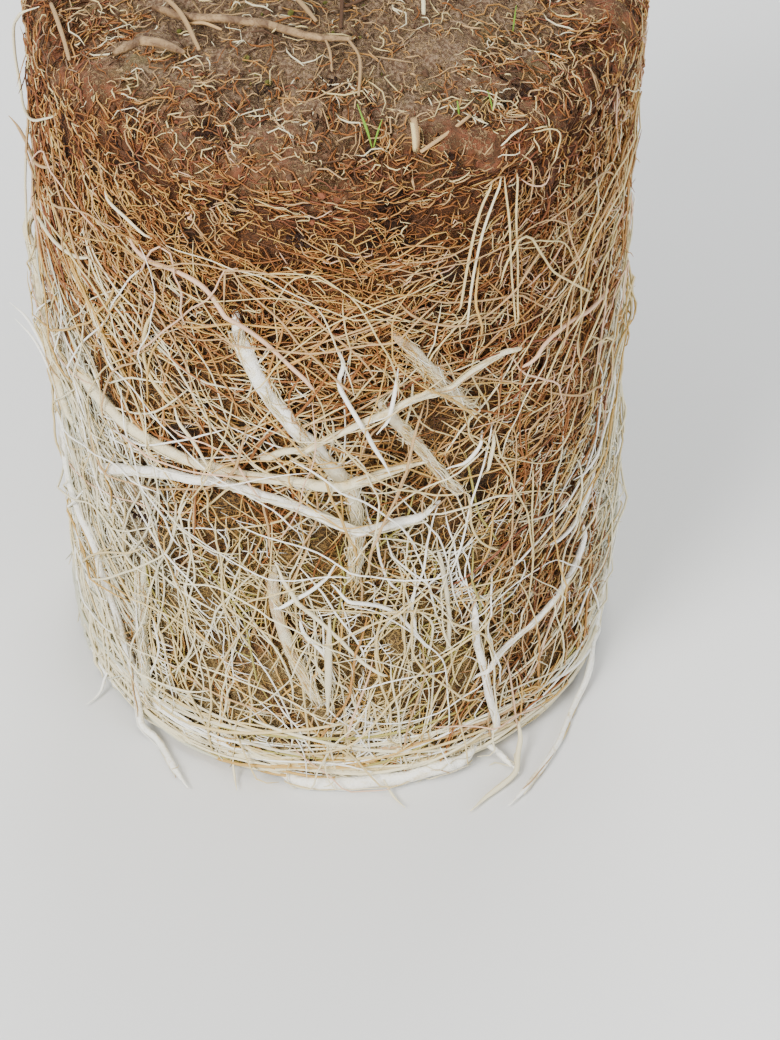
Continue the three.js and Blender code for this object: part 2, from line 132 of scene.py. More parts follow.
class Wire:
    """One output socket, on which arithmetic adds Math nodes."""

    def __init__(self, sheet: "Sheet", socket: bpy.types.NodeSocket) -> None:
        """Keeps the socket and the node sheet that it belongs to."""
        self.sheet = sheet
        self.socket = socket

    def _math(self, operation: str, first: Value, second: Value = 0.0) -> "Wire":
        """Adds one Math node and returns its output."""
        return self.sheet.node("ShaderNodeMath", {"operation": operation}, {0: first, 1: second})

    def __add__(self, other: Value) -> "Wire":
        """This plus another."""
        return self._math("ADD", self, other)

    __radd__ = __add__

    def __sub__(self, other: Value) -> "Wire":
        """This less another."""
        return self._math("SUBTRACT", self, other)

    def __rsub__(self, other: Value) -> "Wire":
        """Another less this."""
        return self._math("SUBTRACT", other, self)

    def __mul__(self, other: Value) -> "Wire":
        """This times another."""
        return self._math("MULTIPLY", self, other)

    __rmul__ = __mul__

    def __truediv__(self, other: Value) -> "Wire":
        """This over another."""
        return self._math("DIVIDE", self, other)

    def __abs__(self) -> "Wire":
        """This without its sign."""
        return self._math("ABSOLUTE", self)

    def __or__(self, other: Value) -> "Wire":
        """The larger of this and another."""
        return self._math("MAXIMUM", self, other)

    def turned(self, other: Value) -> "Wire":
        """The angle whose sine and cosine go as this and another."""
        return self._math("ARCTAN2", self, other)

    def band(self, low: float, high: float) -> "Wire":
        """Runs smoothly from 0 at low to 1 at high."""
        settings = {"interpolation_type": "SMOOTHSTEP"}
        return self.sheet.node("ShaderNodeMapRange", settings, {0: self, 1: low, 2: high, 3: 0.0, 4: 1.0})


class Sheet:
    """The node sheet of one material, with one method for every kind of node."""

    def __init__(self, name: str) -> None:
        """Makes an empty material.

        Args:
            name: The material's name.
        """
        self.material = bpy.data.materials.new(name)
        self.material.use_nodes = True
        self.tree = self.material.node_tree
        self.tree.nodes.clear()

    def node(
        self,
        kind: str,
        settings: dict[str, Any] | None = None,
        sockets: dict[str | int, Value] | None = None,
        out: int = 0,
    ) -> Wire | None:
        """Adds a node.

        Args:
            kind: The node's type.
            settings: What is set on the node first; "stops" holds a ramp's positions and tones.
            sockets: Values, tones or wires by socket name or number.
            out: The number of the output that is returned.

        Returns:
            The chosen output as a Wire, or None for a node without one.
        """
        made = self.tree.nodes.new(kind)
        for key, value in (settings or {}).items():
            if key == "stops":
                self._stops(made.color_ramp, value)
            else:
                setattr(made, key, value)
        for key, value in (sockets or {}).items():
            target = made.inputs[key]
            if isinstance(value, Wire):
                self.tree.links.new(value.socket, target)
            else:
                target.default_value = value.linear if isinstance(value, Tone) else value
        return Wire(self, made.outputs[out]) if made.outputs else None

    @staticmethod
    def _stops(ramp: bpy.types.ColorRamp, stops: Sequence[tuple[float, Tone]]) -> None:
        """Sets a ramp's stops.

        Args:
            ramp: The colour ramp.
            stops: Positions from 0 to 1, each with its tone.
        """
        while len(ramp.elements) < len(stops):
            ramp.elements.new(1.0)
        for element, (position, tone) in zip(ramp.elements, stops):
            element.position = position
            element.color = tone.linear

    def place(self) -> Wire:
        """The point on the piece, in metres."""
        return self.node("ShaderNodeTexCoord", out=3)

    def axis(self, point: Wire, number: int) -> Wire:
        """One coordinate of a point."""
        return self.node("ShaderNodeSeparateXYZ", {}, {0: point}, out=number)

    def stretched(self, point: Wire, scale: Sequence[float]) -> Wire:
        """The point scaled along each axis."""
        return self.node("ShaderNodeMapping", {}, {0: point, 3: scale})

    def length(self, point: Wire) -> Wire:
        """The distance of a point from the origin."""
        return self.node("ShaderNodeVectorMath", {"operation": "LENGTH"}, {0: point}, out=1)

    def noise(
        self, point: Wire, scale: float, detail: float = 3.0, distortion: float = 0.0, out: int = 0
    ) -> Wire:
        """Soft noise from 0 to 1, as one value or, with out at 1, as a vector."""
        sockets = {"Vector": point, "Scale": scale, "Detail": detail, "Distortion": distortion}
        return self.node("ShaderNodeTexNoise", {}, sockets, out)

    def fibres(self, point: Wire, scale: float, width: float) -> Wire:
        """A net of thin lines at 1 on gaps at 0.

        Args:
            point: Where on the piece.
            scale: Meshes of the net to the metre.
            width: The lines' share of a mesh.

        Returns:
            The net.
        """
        drift = self.noise(point, scale * 0.7, 2.0, out=1)
        offset = self.node("ShaderNodeVectorMath", {"operation": "SCALE"}, {0: drift, 3: 1.4 / scale})
        moved = self.node("ShaderNodeVectorMath", {"operation": "ADD"}, {0: point, 1: offset})
        settings = {"feature": "DISTANCE_TO_EDGE"}
        cells = self.node("ShaderNodeTexVoronoi", settings, {"Vector": moved, "Scale": scale})
        thick = self.noise(point, scale * 0.5, 2.0) * width + 0.25 * width
        return 1.0 - (cells / thick).band(0.0, 1.0)

    def blend(self, share: Value, first: Value, second: Value) -> Wire:
        """A colour between two, by a share from 0 to 1."""
        settings = {"data_type": "RGBA", "clamp_factor": True}
        return self.node("ShaderNodeMix", settings, {0: share, 6: first, 7: second}, out=2)

    def bump(self, height: Wire, strength: float, distance: float) -> Wire:
        """A bumped normal from a height."""
        return self.node("ShaderNodeBump", {}, {"Height": height, "Strength": strength, "Distance": distance})

    def surface(self, sockets: dict[str, Value]) -> Material:
        """Ends the sheet in one principled surface.

        Args:
            sockets: Values, tones or wires by socket name.

        Returns:
            The material.
        """
        shader = self.node("ShaderNodeBsdfPrincipled", {}, sockets)
        self.node("ShaderNodeOutputMaterial", {}, {"Surface": shader})
        return self.material


@dataclass(frozen=True)
class PlainFinish:
    """One plain tone, for pieces whose colours are dealt out strand by strand or leaf by leaf."""

    tone: Tone
    roughness: float

    def material(self) -> Material:
        """The finish as a material."""
        sheet = Sheet(f"plain_{self.tone.name.lower()}")
        return sheet.surface({"Base Color": self.tone, "Roughness": self.roughness})


@dataclass(frozen=True)
class RootFinish:
    """The skin of a thick root, stained here and there, with fine wrinkles."""

    name: str
    pale: Tone
    stain: Tone
    stained: float
    whitens: Span = (3.0, 4.0)

    def material(self) -> Material:
        """Makes the finish.

        Returns:
            The material.
        """
        sheet = Sheet(f"root_{self.name}")
        point = sheet.place()
        patches = sheet.noise(point, 75.0, 4.0, 0.8)
        specks = sheet.noise(point, 420.0, 3.0)
        hairs = sheet.fibres(point, 420.0, 0.5)
        low = 0.66 - 0.36 * self.stained
        share = patches.band(low, low + 0.26) * 0.8 + specks.band(0.52, 0.75) * 0.4
        clean = sheet.blend(sheet.axis(point, 2).band(*self.whitens), self.pale, Tone.WHITE)
        skin = sheet.blend(share, clean, self.stain)
        cracks = (1.0 - hairs) * patches.band(0.5, 0.7) * (0.5 * self.stained)
        colour = sheet.blend(cracks, skin, Tone.UMBER)
        normal = sheet.bump(sheet.noise(point, 900.0, 3.0, 0.4) + specks * 1.4 + hairs * 0.6, 0.5, 0.0007)
        return sheet.surface({"Base Color": colour, "Roughness": 0.5 + patches * 0.2, "Normal": normal})


ROOT_FINISHES = (
    RootFinish("white", Tone.WHITE, Tone.STRAW, 0.35),
    RootFinish("cream", Tone.CREAM, Tone.STRAW, 0.5),
    RootFinish("beige", Tone.BUFF, Tone.TAN, 0.7),
    RootFinish("grey", Tone.CREAM, Tone.GREY, 0.8),
    RootFinish("fading", Tone.BUFF, Tone.CREAM, 0.5, whitens=(0.25, 0.31)),
)


@dataclass(frozen=True)
class Felt:
    """A stretch of the side, in degrees and metres, where the finest roots are matted to a pale felt."""

    middle: float
    half: float
    top: float


FELTS = (
    Felt(-78.0, 33.0, 0.318), Felt(-50.0, 9.0, 0.266), Felt(92.0, 28.0, 0.310), Felt(-172.0, 18.0, 0.230),
    Felt(150.0, 14.0, 0.150),
)


@dataclass(frozen=True)
class FeltFinish:
    """The depth of the mat between its strands: nets of fine fibres over dark soil and painted shade, the
    fibres a step darker than the strands as painted shade, paler lower down.
    """

    net: float = 320.0
    hair: float = 720.0
    height: float = 0.489
    brown_middle: float = math.radians(58)

    @staticmethod
    def round(sheet: Sheet, point: Wire) -> Wire:
        """The angle round the ball from its front."""
        return sheet.axis(point, 0).turned(0.0 - sheet.axis(point, 1))

    def felted(self, sheet: Sheet, point: Wire, drift: Wire) -> Wire:
        """Finds where the side is matted to felt.

        Args:
            sheet: The node sheet.
            point: The point on the ball.
            drift: Noise that tears the border.

        Returns:
            A share from 0 to 1.
        """
        angle = self.round(sheet, point)
        level = sheet.axis(point, 2)
        total = level * 0.0
        for felt in FELTS:
            away = abs(angle - math.radians(felt.middle)) + (drift - 0.5) * 1.1
            near = 1.0 - away.band(math.radians(felt.half - 12), math.radians(felt.half + 6))
            below = 1.0 - (level + (drift - 0.5) * 0.18 + away * 0.1).band(felt.top - 0.05, felt.top + 0.03)
            total = total | near * below
        return total

    def material(self) -> Material:
        """Makes the finish.

        Returns:
            The material.
        """
        sheet = Sheet("root_felt")
        point = sheet.place()
        drift = sheet.noise(point, 11.0, 3.0)
        patches = sheet.noise(point, 42.0, 4.0, 0.6)
        level = (sheet.axis(point, 2) + drift * 0.12 - 0.06) / self.height
        browner = 1.0 - abs(self.round(sheet, point) - self.brown_middle).band(0.3, 0.6)
        level = level + browner * 0.3
        # The fibres' tones by height, each a step darker than the strands there: painted shade of the strands
        # over them.
        tones = ((0.0, Tone.STRAW), (0.3, Tone.GOLD), (0.5, Tone.OCHRE), (0.82, Tone.RUST), (1.0, Tone.CLAY))
        fibre = sheet.node("ShaderNodeValToRGB", {"stops": tones}, {0: level})
        rusty = sheet.noise(point, 27.0, 3.0, 0.5).band(0.54, 0.62)
        fibre = sheet.blend(rusty * 0.75, fibre, Tone.RUST)
        # The gaps: near black as painted shade deep between the fibres, and the soil's own dark earth towards
        # the top and the foot.
        pits = sheet.blend(patches.band(0.42, 0.62), Tone.PIT, Tone.DARK)
        low = 1.0 - level.band(0.12, 0.42)
        gaps = sheet.blend(level.band(0.72, 0.95) | low * 0.8, pits, Tone.EARTH)
        # Painted shade: hollows where the gaps go near black and the fibres thin out.
        hollow_shade = sheet.noise(point, 33.0, 2.0, 0.5).band(0.54, 0.62) * level.band(0.3, 0.5)
        gaps = sheet.blend(hollow_shade * 0.9, gaps, Tone.PIT)
        coarse = sheet.fibres(point, self.net, 0.27)
        fine = sheet.fibres(point, self.hair, 0.34)
        filled = patches.band(0.54, 0.68) * 0.45 | low * patches.band(0.4, 0.56) * 0.75
        cover = (coarse * 0.8 | fine * 0.35) | filled * (0.4 + 0.6 * fine)
        woven = sheet.blend(cover * (1.0 - hollow_shade * 0.6), gaps, fibre)
        streaks = sheet.noise(sheet.stretched(point, (1.0, 1.0, 0.14)), 520.0, 4.0, 0.3)
        woolly = streaks.band(0.34, 0.66) * 0.5 | fine * 0.8
        pale = sheet.blend(woolly, Tone.TAN, Tone.CREAM)
        torn = (drift * 0.55 + patches * 0.45 - 0.5) * 1.6 + 0.5
        felt = self.felted(sheet, point, torn) * (0.5 + 0.5 * fine | patches.band(0.3, 0.5) * 0.95)
        colour = sheet.blend(felt, woven, pale)
        normal = sheet.bump(coarse * 1.6 + fine * 0.9 + streaks * 0.5, 0.8, 0.0014)
        return sheet.surface({"Base Color": colour, "Roughness": 0.85, "Normal": normal})


@dataclass(frozen=True)
class SoilFinish:
    """The crumbly top soil: grey-brown, with red clay towards the rim and a little moss."""

    rim: float = 0.165

    def material(self) -> Material:
        """Makes the finish.

        Returns:
            The material.
        """
        sheet = Sheet("top_soil")
        point = sheet.place()
        flat = sheet.stretched(point, (1.0, 1.0, 0.0))
        out = sheet.length(flat)
        drift = sheet.noise(point, 22.0, 4.0, 0.4)
        grains = sheet.noise(point, 480.0, 4.0)
        crumbs = sheet.noise(point, 130.0, 4.0)
        hairs = sheet.fibres(point, 340.0, 0.2) * sheet.noise(point, 90.0).band(0.34, 0.54)
        earth = sheet.blend(grains.band(0.35, 0.65), Tone.UMBER, Tone.DUST)
        clay = sheet.blend(crumbs.band(0.38, 0.66), Tone.EARTH, Tone.CLAY)
        edge = (out / self.rim + drift * 0.7 - 0.35).band(0.74, 1.0)
        moss = sheet.noise(point, 34.0, 3.0, 0.3).band(0.58, 0.74) * (0.2 + 0.4 * grains)
        ground = sheet.blend(moss, sheet.blend(edge, earth, clay), Tone.MOSS)
        colour = sheet.blend(hairs * 0.65, ground, Tone.TAN)
        normal = sheet.bump(crumbs * 2.4 + grains + hairs * 0.8, 0.9, 0.0022)
        return sheet.surface({"Base Color": colour, "Roughness": 0.92, "Normal": normal})


@dataclass(frozen=True)
class BarkFinish:
    """Young bark: olive grey-brown with paler streaks and fine cracks along the limb."""

    name: str
    fresh: float = 0.0

    def material(self) -> Material:
        """Makes the finish.

        Returns:
            The material.
        """
        sheet = Sheet(f"bark_{self.name}")
        point = sheet.place()
        along = sheet.stretched(point, (1.0, 1.0, 0.16))
        streaks = sheet.noise(along, 300.0, 5.0, 0.3)
        patches = sheet.noise(point, 34.0, 5.0, 0.5)
        specks = sheet.noise(point, 620.0, 3.0)
        cracks = sheet.fibres(sheet.stretched(point, (1.0, 1.0, 0.11)), 300.0, 0.09)
        cracks = cracks * patches.band(0.3, 0.6)
        pores = sheet.noise(sheet.stretched(point, (0.45, 0.45, 1.5)), 330.0, 2.0).band(0.66, 0.74)
        base = sheet.blend(streaks.band(0.38, 0.62), Tone.BARK_DARK, Tone.BARK)
        pale = sheet.blend(patches.band(0.45, 0.75) * 0.55, base, Tone.BARK_PALE)
        tint = sheet.blend(self.fresh + specks.band(0.6, 0.9) * 0.2, pale, Tone.TWIG)
        cracked = sheet.blend(cracks * 0.5, tint, Tone.EARTH)
        tint = sheet.blend(pores * 0.8, cracked, Tone.BARK_PALE)
        normal = sheet.bump(streaks * 1.6 + specks * 0.6 - cracks * 0.9 + pores * 0.9, 0.7, 0.0011)
        return sheet.surface({"Base Color": tint, "Roughness": 0.66 + specks * 0.2, "Normal": normal})


@dataclass(frozen=True)
class FloorFinish:
    """A pale matt studio floor, which fades into the air far out."""

    fades: Span = (7.0, 26.0)

    def material(self) -> Material:
        """Makes the finish.

        Returns:
            The material.
        """
        sheet = Sheet("studio_floor")
        point = sheet.place()
        cloud = sheet.noise(point, 1.5, 3.0)
        colour = sheet.blend(cloud, (0.72, 0.72, 0.71, 1.0), (0.78, 0.78, 0.77, 1.0))
        clear = sheet.length(point).band(*self.fades)
        return sheet.surface({"Base Color": colour, "Roughness": 0.9, "Alpha": 1.0 - clear})


class Palette:
    """Plain materials, one for each tone."""

    def __init__(self, tones: Sequence[Tone], roughness: float) -> None:
        """Makes one plain material for each tone."""
        self.tones = list(tones)
        self.materials = [PlainFinish(tone, roughness).material() for tone in tones]

    def indices(self, tones: Sequence[Tone]) -> list[int]:
        """The material slots of some tones."""
        return [self.index(tone) for tone in tones]

    def index(self, tone: Tone) -> int:
        """The material slot of a tone."""
        return self.tones.index(tone)


class Noise:
    """Seeded soft noise over space, from -1 to 1."""

    size = 4096
    mixers = np.array([73856093, 19349663, 83492791])

    def __init__(self, seed: int) -> None:
        """Fills the table of values."""
        self.table = default_rng(seed).random(self.size) * 2 - 1

    def at(self, points: Array, scale: float) -> Array:
        """The noise at points.

        Args:
            points: An array whose last axis is x, y, z.
            scale: Lumps to the metre.

        Returns:
            One value for each point.
        """
        spread = points * scale
        cell = np.floor(spread).astype(np.int64)
        part = spread - cell
        part = part * part * (3 - 2 * part)
        total = np.zeros(points.shape[:-1])
        for corner in range(8):
            step = np.array([corner & 1, corner >> 1 & 1, corner >> 2 & 1])
            key = (cell + step) * self.mixers
            value = self.table[(key[..., 0] ^ key[..., 1] ^ key[..., 2]) & (self.size - 1)]
            weight = np.prod(np.where(step == 1, part, 1 - part), axis=-1)
            total += value * weight
        return total

    def layered(self, points: Array, layers: Sequence[Span]) -> Array:
        """The sum of layers of noise, each with its height and its lumps to the metre."""
        return sum(height * self.at(points, scale) for height, scale in layers)


class Draws:
    """A seeded row of numbers from 0 to 1, the same as the solids' own."""

    limit = 0xFFFFFFFF

    def __init__(self, seed: int) -> None:
        """Starts the row.

        Args:
            seed: The whole number that fixes the row.
        """
        self.state = seed & self.limit
        self.next()
        self.next()

    def next(self) -> float:
        """The next number."""
        self.state = (self.state * 1664525 + 1013904223) & self.limit
        return self.state / (self.limit + 1)

    @staticmethod
    def child(seed: int, index: int) -> int:
        """The seed of a row that grows out of another."""
        return (seed * 31 + (index + 1) * 7919 + 17) & Draws.limit


class Route:
    """A smooth line through points, walked at an even pace."""

    def __init__(self, points: Array) -> None:
        """Fits the line.

        Args:
            points: The points that it passes through, one to a row.
        """
        self.points = np.asarray(points, dtype=float)
        ends = (2 * self.points[0] - self.points[1], 2 * self.points[-1] - self.points[-2])
        self.padded = np.vstack([ends[0], self.points, ends[1]])
        self.shares = np.linspace(0, 1, 401)
        dense = self.raw(self.shares)
        steps = np.linalg.norm(np.diff(dense, axis=0), axis=1)
        self.walked = np.concatenate([[0], np.cumsum(steps)])
        self.length = float(self.walked[-1])

    def raw(self, shares: Array) -> Array:
        """Finds points at shares that count each stretch as equal.

        Args:
            shares: Shares from 0 to 1.

        Returns:
            One point to a row.
        """
        last = len(self.points) - 1
        spot = np.clip(np.asarray(shares) * last, 0, last)
        start = np.minimum(spot.astype(int), last - 1)
        part = (spot - start)[:, None]
        p0, p1, p2, p3 = (self.padded[start + k] for k in range(4))
        d0, d1, d2 = (
            np.maximum(np.sqrt(np.linalg.norm(b - a, axis=1)), 1e-9)[:, None]
            for a, b in ((p0, p1), (p1, p2), (p2, p3))
        )
        t1 = ((p1 - p0) / d0 - (p2 - p0) / (d0 + d1) + (p2 - p1) / d1) * d1
        t2 = ((p2 - p1) / d1 - (p3 - p1) / (d1 + d2) + (p3 - p2) / d2) * d1
        square, cube = part * part, part * part * part
        bend = (-3 * p1 + 3 * p2 - 2 * t1 - t2) * square
        return p1 + t1 * part + bend + (2 * p1 - 2 * p2 + t1 + t2) * cube

    def at(self, shares: Sequence[float]) -> Array:
        """Points at shares of the line's length."""
        wanted = np.atleast_1d(np.asarray(shares, dtype=float)) * self.length
        return self.raw(np.interp(wanted, self.walked, self.shares))

    def heading(self, share: float) -> Array:
        """The unit direction of the line at a share of its length."""
        near = self.at([max(share - 1e-3, 0), min(share + 1e-3, 1)])
        return unit(near[1] - near[0])


def unit(vectors: Array) -> Array:
    """Vectors of length one, along the last axis."""
    lengths = np.linalg.norm(vectors, axis=-1, keepdims=True)
    return vectors / np.maximum(lengths, 1e-12)


def smooth_step(low: float, high: float, values: Array) -> Array:
    """Runs smoothly from 0 at low to 1 at high."""
    share = np.clip((values - low) / (high - low), 0, 1)
    return share * share * (3 - 2 * share)


def mix(first: float, second: float, share: float) -> float:
    """A number between two."""
    return first + (second - first) * share


def walk(heading: Array, pace: Array) -> tuple[Array, Array]:
    """The way gone along and up, step by step, from the headings and the paces."""
    return np.cumsum(np.cos(heading), axis=1) * pace, np.cumsum(np.sin(heading), axis=1) * pace


class MeshParts:
    """Points and faces gathered from arrays, for one joined mesh."""

    def __init__(self) -> None:
        """Starts empty."""
        self.points: list[Array] = []
        self.faces: list[Array] = []
        self.slots: list[Array] = []
        self.count = 0

    def add(self, points: Array, faces: Sequence[Array], slots: Sequence[Array] | int = 0) -> "MeshParts":
        """Adds some points and the faces between them.

        Args:
            points: One point to a row.
            faces: Arrays of corner numbers, each with faces of one size.
            slots: The material slot of every face, as one number or one array for each array of faces.

        Returns:
            Itself.
        """
        for number, block in enumerate(faces):
            given = slots if isinstance(slots, (int, np.integer)) else slots[number]
            self.slots.append(np.broadcast_to(given, (len(block),)))
            self.faces.append(block + self.count)
        self.points.append(points.reshape(-1, 3))
        self.count += len(self.points[-1])
        return self

    def add_tubes(self, made: Surface, slots: Array) -> "MeshParts":
        """Adds tubes, as tubes() makes them, each with a material slot of its own, and returns itself."""
        points, faces = made
        return self.add(points, faces, [np.repeat(slots, len(faces[0]) // len(slots)), slots, slots])

    def build(self, name: str, materials: Sequence[Material], smooth: bool = True) -> Piece:
        """Makes the mesh object.

        Args:
            name: The piece's name.
            materials: Its material slots.
            smooth: Whether faces are shaded smooth.

        Returns:
            The object.
        """
        points = np.concatenate(self.points)
        corners = np.concatenate([block.ravel() for block in self.faces])
        sizes = np.concatenate([np.full(len(block), block.shape[1]) for block in self.faces])
        starts = np.concatenate([[0], np.cumsum(sizes)[:-1]])
        mesh = bpy.data.meshes.new(name)
        mesh.vertices.add(len(points))
        mesh.vertices.foreach_set("co", points.astype(np.float32).ravel())
        mesh.loops.add(len(corners))
        mesh.loops.foreach_set("vertex_index", corners.astype(np.int32))
        mesh.polygons.add(len(sizes))
        mesh.polygons.foreach_set("loop_start", starts.astype(np.int32))
        mesh.polygons.foreach_set("material_index", np.concatenate(self.slots).astype(np.int32))
        mesh.polygons.foreach_set("use_smooth", np.full(len(sizes), smooth))
        mesh.update(calc_edges=True)
        for material in materials:
            mesh.materials.append(material)
        made = bpy.data.objects.new(name, mesh)
        bpy.context.collection.objects.link(made)
        return made


def ring_faces(rings: int, around: int) -> Array:
    """Finds the four-cornered faces between closed rings of corners.

    Args:
        rings: How many rings there are.
        around: Corners in a ring.

    Returns:
        One face to a row.
    """
    ring = np.arange(rings - 1)[:, None] * around
    here = np.arange(around)[None, :]
    after = (here + 1) % around
    corners = [ring + here, ring + after, ring + around + after, ring + around + here]
    return np.stack(corners, axis=-1).reshape(-1, 4)


def tubes(paths: Array, radii: Array, sides: int, outward: Array) -> Surface:
    """Makes many tubes of one ring count.

    Args:
        paths: Centre points, (tubes, rings, 3).
        radii: Radii, (tubes, rings) or (tubes, rings, sides).
        sides: Corners in a ring.
        outward: Rough normals, as paths.

    Returns:
        The points and the faces, sides first and the two ends after.
    """
    count, rings = paths.shape[:2]
    ahead = unit(np.gradient(paths, axis=1))
    beside = unit(np.cross(ahead, outward))
    above = np.cross(beside, ahead)
    angles = TAU * np.arange(sides) / sides + math.pi / 2
    if radii.ndim == 2:
        radii = radii[:, :, None]
    across = np.cos(angles)[None, None, :, None] * beside[:, :, None, :]
    across = across + np.sin(angles)[None, None, :, None] * above[:, :, None, :]
    points = paths[:, :, None, :] + radii[..., None] * across
    base = np.arange(count)[:, None] * rings * sides
    here = np.arange(sides)
    quads = ring_faces(rings, sides)[None] + base[..., None]
    starts = base + here[::-1]
    ends = base + (rings - 1) * sides + here
    return points.reshape(-1, 3), [quads.reshape(-1, 4), starts, ends]


@dataclass(frozen=True)
class Wave:
    """One slow wave in the ball's surface."""

    depth: float
    along: float
    across: float
    phase: float


@dataclass
class Ball:
    """The body of the root ball: the shape its container gave it, and the soil on top."""

    foot_radius: float = 0.1625
    top_radius: float = 0.1715
    height: float = 0.489
    foot_edge: float = 0.009
    edge_height: float = 0.012
    rim_depth: float = 0.020
    rim_in: float = 0.014
    rim_drop: float = 0.008
    rim_slump: float = 0.009
    slump_at: float = 5.0
    slump_half: float = 42.0
    foot_disc: tuple[float, float, float, float] = (0.002, 0.006, 0.033, 0.492)
    relief: tuple[Wave, ...] = (
        Wave(0.0019, 3, 14.0, 0.4),
        Wave(0.0013, 5, -24.0, 2.1),
        Wave(0.0009, 8, 33.0, 4.0),
    )
    soil: tuple[Wave, ...] = (
        Wave(0.0026, 31.0, 17.0, 0.8),
        Wave(0.0019, -22.0, 43.0, 2.9),
        Wave(0.0011, 63.0, 51.0, 5.1),
    )
    seed: int = 11
    around: int = 200
    edge_rows: int = 5
    side_rows: int = 96
    rim_rows: int = 14
    top_rows: int = 50
    foot_rows: int = 8
    lumps: tuple[Span, ...] = ((0.0016, 70.0), (0.0011, 190.0), (0.0006, 520.0))
    clods: tuple[Span, ...] = ((0.0040, 48.0), (0.0028, 130.0), (0.0014, 400.0))
    ragged: tuple[Span, ...] = ((0.014, 30.0), (0.008, 90.0))

    @property
    def rim_start(self) -> float:
        """The height where the side begins to round over to the top."""
        return self.height - self.rim_depth

    @property
    def rim_arc(self) -> float:
        """The length of the rounded rim, from side to top."""
        return math.pi / 2 * math.sqrt((self.rim_in**2 + self.rim_depth**2) / 2)

    def radius(self, angle: Array, z: Array) -> Array:
        """Finds the radius of the solid's side.

        Args:
            angle: Angles from the front.
            z: Heights.

        Returns:
            The radii.
        """
        straight = self.foot_radius + (self.top_radius - self.foot_radius) * z / self.height
        below = np.maximum(0, 1 - z / self.edge_height)
        waves = sum(w.depth * np.cos(w.along * angle + w.across * z + w.phase) for w in self.relief)
        return straight - self.foot_edge * below * below + waves * np.minimum(1, z / 0.04)

    def drop(self, angle: Array) -> Array:
        """How far the rim has slumped at an angle."""
        away = np.minimum(np.abs(np.degrees(angle) - self.slump_at) / self.slump_half, 1)
        return self.rim_drop + self.rim_slump * 0.5 * (1 + np.cos(np.pi * away))

    def soil_height(self, x: Array, y: Array) -> Array:
        """Finds the height of the soil, level round the trunk's foot.

        Args:
            x: Places to the right.
            y: Places to the back.

        Returns:
            The heights.
        """
        foot_x, foot_y, foot_radius, foot_height = self.foot_disc
        waves = sum(w.depth * np.cos(w.along * x + w.across * y + w.phase) for w in self.soil)
        share = smooth_step(0, 0.03, np.hypot(x - foot_x, y - foot_y) - foot_radius)
        return mix(foot_height, self.height + waves, share)

    def soil_surface(self, x: Array, y: Array) -> Array:
        """Finds the height of the soil with its fall towards the rim.

        Args:
            x: Places to the right.
            y: Places to the back.

        Returns:
            The heights.
        """
        out = np.hypot(x, y)
        angle = np.arctan2(x, -y)
        soil = self.soil_height(x, y)
        inner = soil - smooth_step(0.078, 0.150, out) * 0.5 * self.drop(angle)
        outer = self.height + 0.6 * (soil - self.height) - self.drop(angle)
        return mix(inner, outer, smooth_step(0.138, self.top_radius - self.rim_in, out))

    def skin(self, angle: Array, way: Array, out: Array) -> Array:
        """Points on or off the ball's surface.

        Args:
            angle: The angle from the front.
            way: The distance from the foot, up the side, round the rim and in over the soil.
            out: The distance off the surface.

        Returns:
            The points.
        """
        up_side = np.minimum(way, self.rim_start)
        turn = np.clip((way - self.rim_start) / self.rim_arc, 0, 1) * math.pi / 2
        over = np.maximum(way - self.rim_start - self.rim_arc, 0) / (self.top_radius - self.rim_in)
        side = self.radius(angle, up_side)
        reach = (side - self.rim_in * (1 - np.cos(turn))) * (1 - over)
        level = up_side + self.rim_depth * np.sin(turn)
        x, y = reach * np.sin(angle), -reach * np.cos(angle)
        sunk = (self.soil_height(x, y) - self.height) * 0.6 - self.drop(angle)
        near_rim = smooth_step(self.rim_start - 0.03, self.height, level)
        z = np.where(over > 0, self.soil_surface(x, y), level + near_rim * sunk)
        off = reach + out * np.cos(turn)
        return np.stack([off * np.sin(angle), -off * np.cos(angle), z + out * np.sin(turn)], axis=-1)

    def build(self, felt: Material, soil: Material) -> Piece:
        """Makes the body, with lumps and pits, in place of its plain solid.

        Args:
            felt: The finish of the side.
            soil: The finish of the top and the rim.

        Returns:
            The piece.
        """
        over = self.rim_start + self.rim_arc
        stretches = (
            (0.0, self.edge_height, self.edge_rows),
            (self.edge_height, self.rim_start, self.side_rows),
            (self.rim_start, over, self.rim_rows),
            (over, over + (self.top_radius - self.rim_in) * 0.996, self.top_rows),
        )
        way = np.concatenate([np.linspace(low, high, rows)[1:] for low, high, rows in stretches])
        way = np.concatenate([[0.0], way])[:, None]
        angle = (np.arange(self.around) * TAU / self.around - math.pi)[None, :]
        plain = self.skin(angle, way, 0 * angle)
        noise = Noise(self.seed)
        top = smooth_step(self.rim_start - 0.01, over, way)
        clear = smooth_step(0.024, 0.05, np.hypot(plain[..., 0], plain[..., 1]))
        lumps, clods = noise.layered(plain, self.lumps), noise.layered(plain, self.clods)
        off = mix(lumps - 0.0006, clods * clear, top) * smooth_step(0.003, 0.02, way)
        surface = self.skin(angle, way, off)
        surface[..., 2] = np.maximum(surface[..., 2], 0)
        foot = surface[0][None] * np.linspace(1, 0.1, self.foot_rows)[1:, None, None]
        rows = np.concatenate([foot[::-1], surface])
        count = len(rows)
        middles = np.array([[0.0, 0.0, 0.0], [0.0, 0.0, float(surface[-1, :, 2].mean())]])
        here = np.arange(self.around)
        after = (here + 1) % self.around
        last, middle = (count - 1) * self.around, 0 * here + count * self.around
        low = np.stack([middle, after, here], -1)
        high = np.stack([last + here, last + after, middle + 1], -1)
        ragged = way + noise.layered(plain, self.ragged)
        earthy = np.concatenate([np.zeros((len(foot), self.around)), ragged > self.rim_start - 0.012])
        slots = [earthy[:-1].ravel().astype(int), np.zeros(self.around, int), np.ones(self.around, int)]
        points = np.concatenate([rows.reshape(-1, 3), middles])
        parts = MeshParts().add(points, [ring_faces(count, self.around), low, high], slots)
        return parts.build("root_ball_body", [felt, soil])


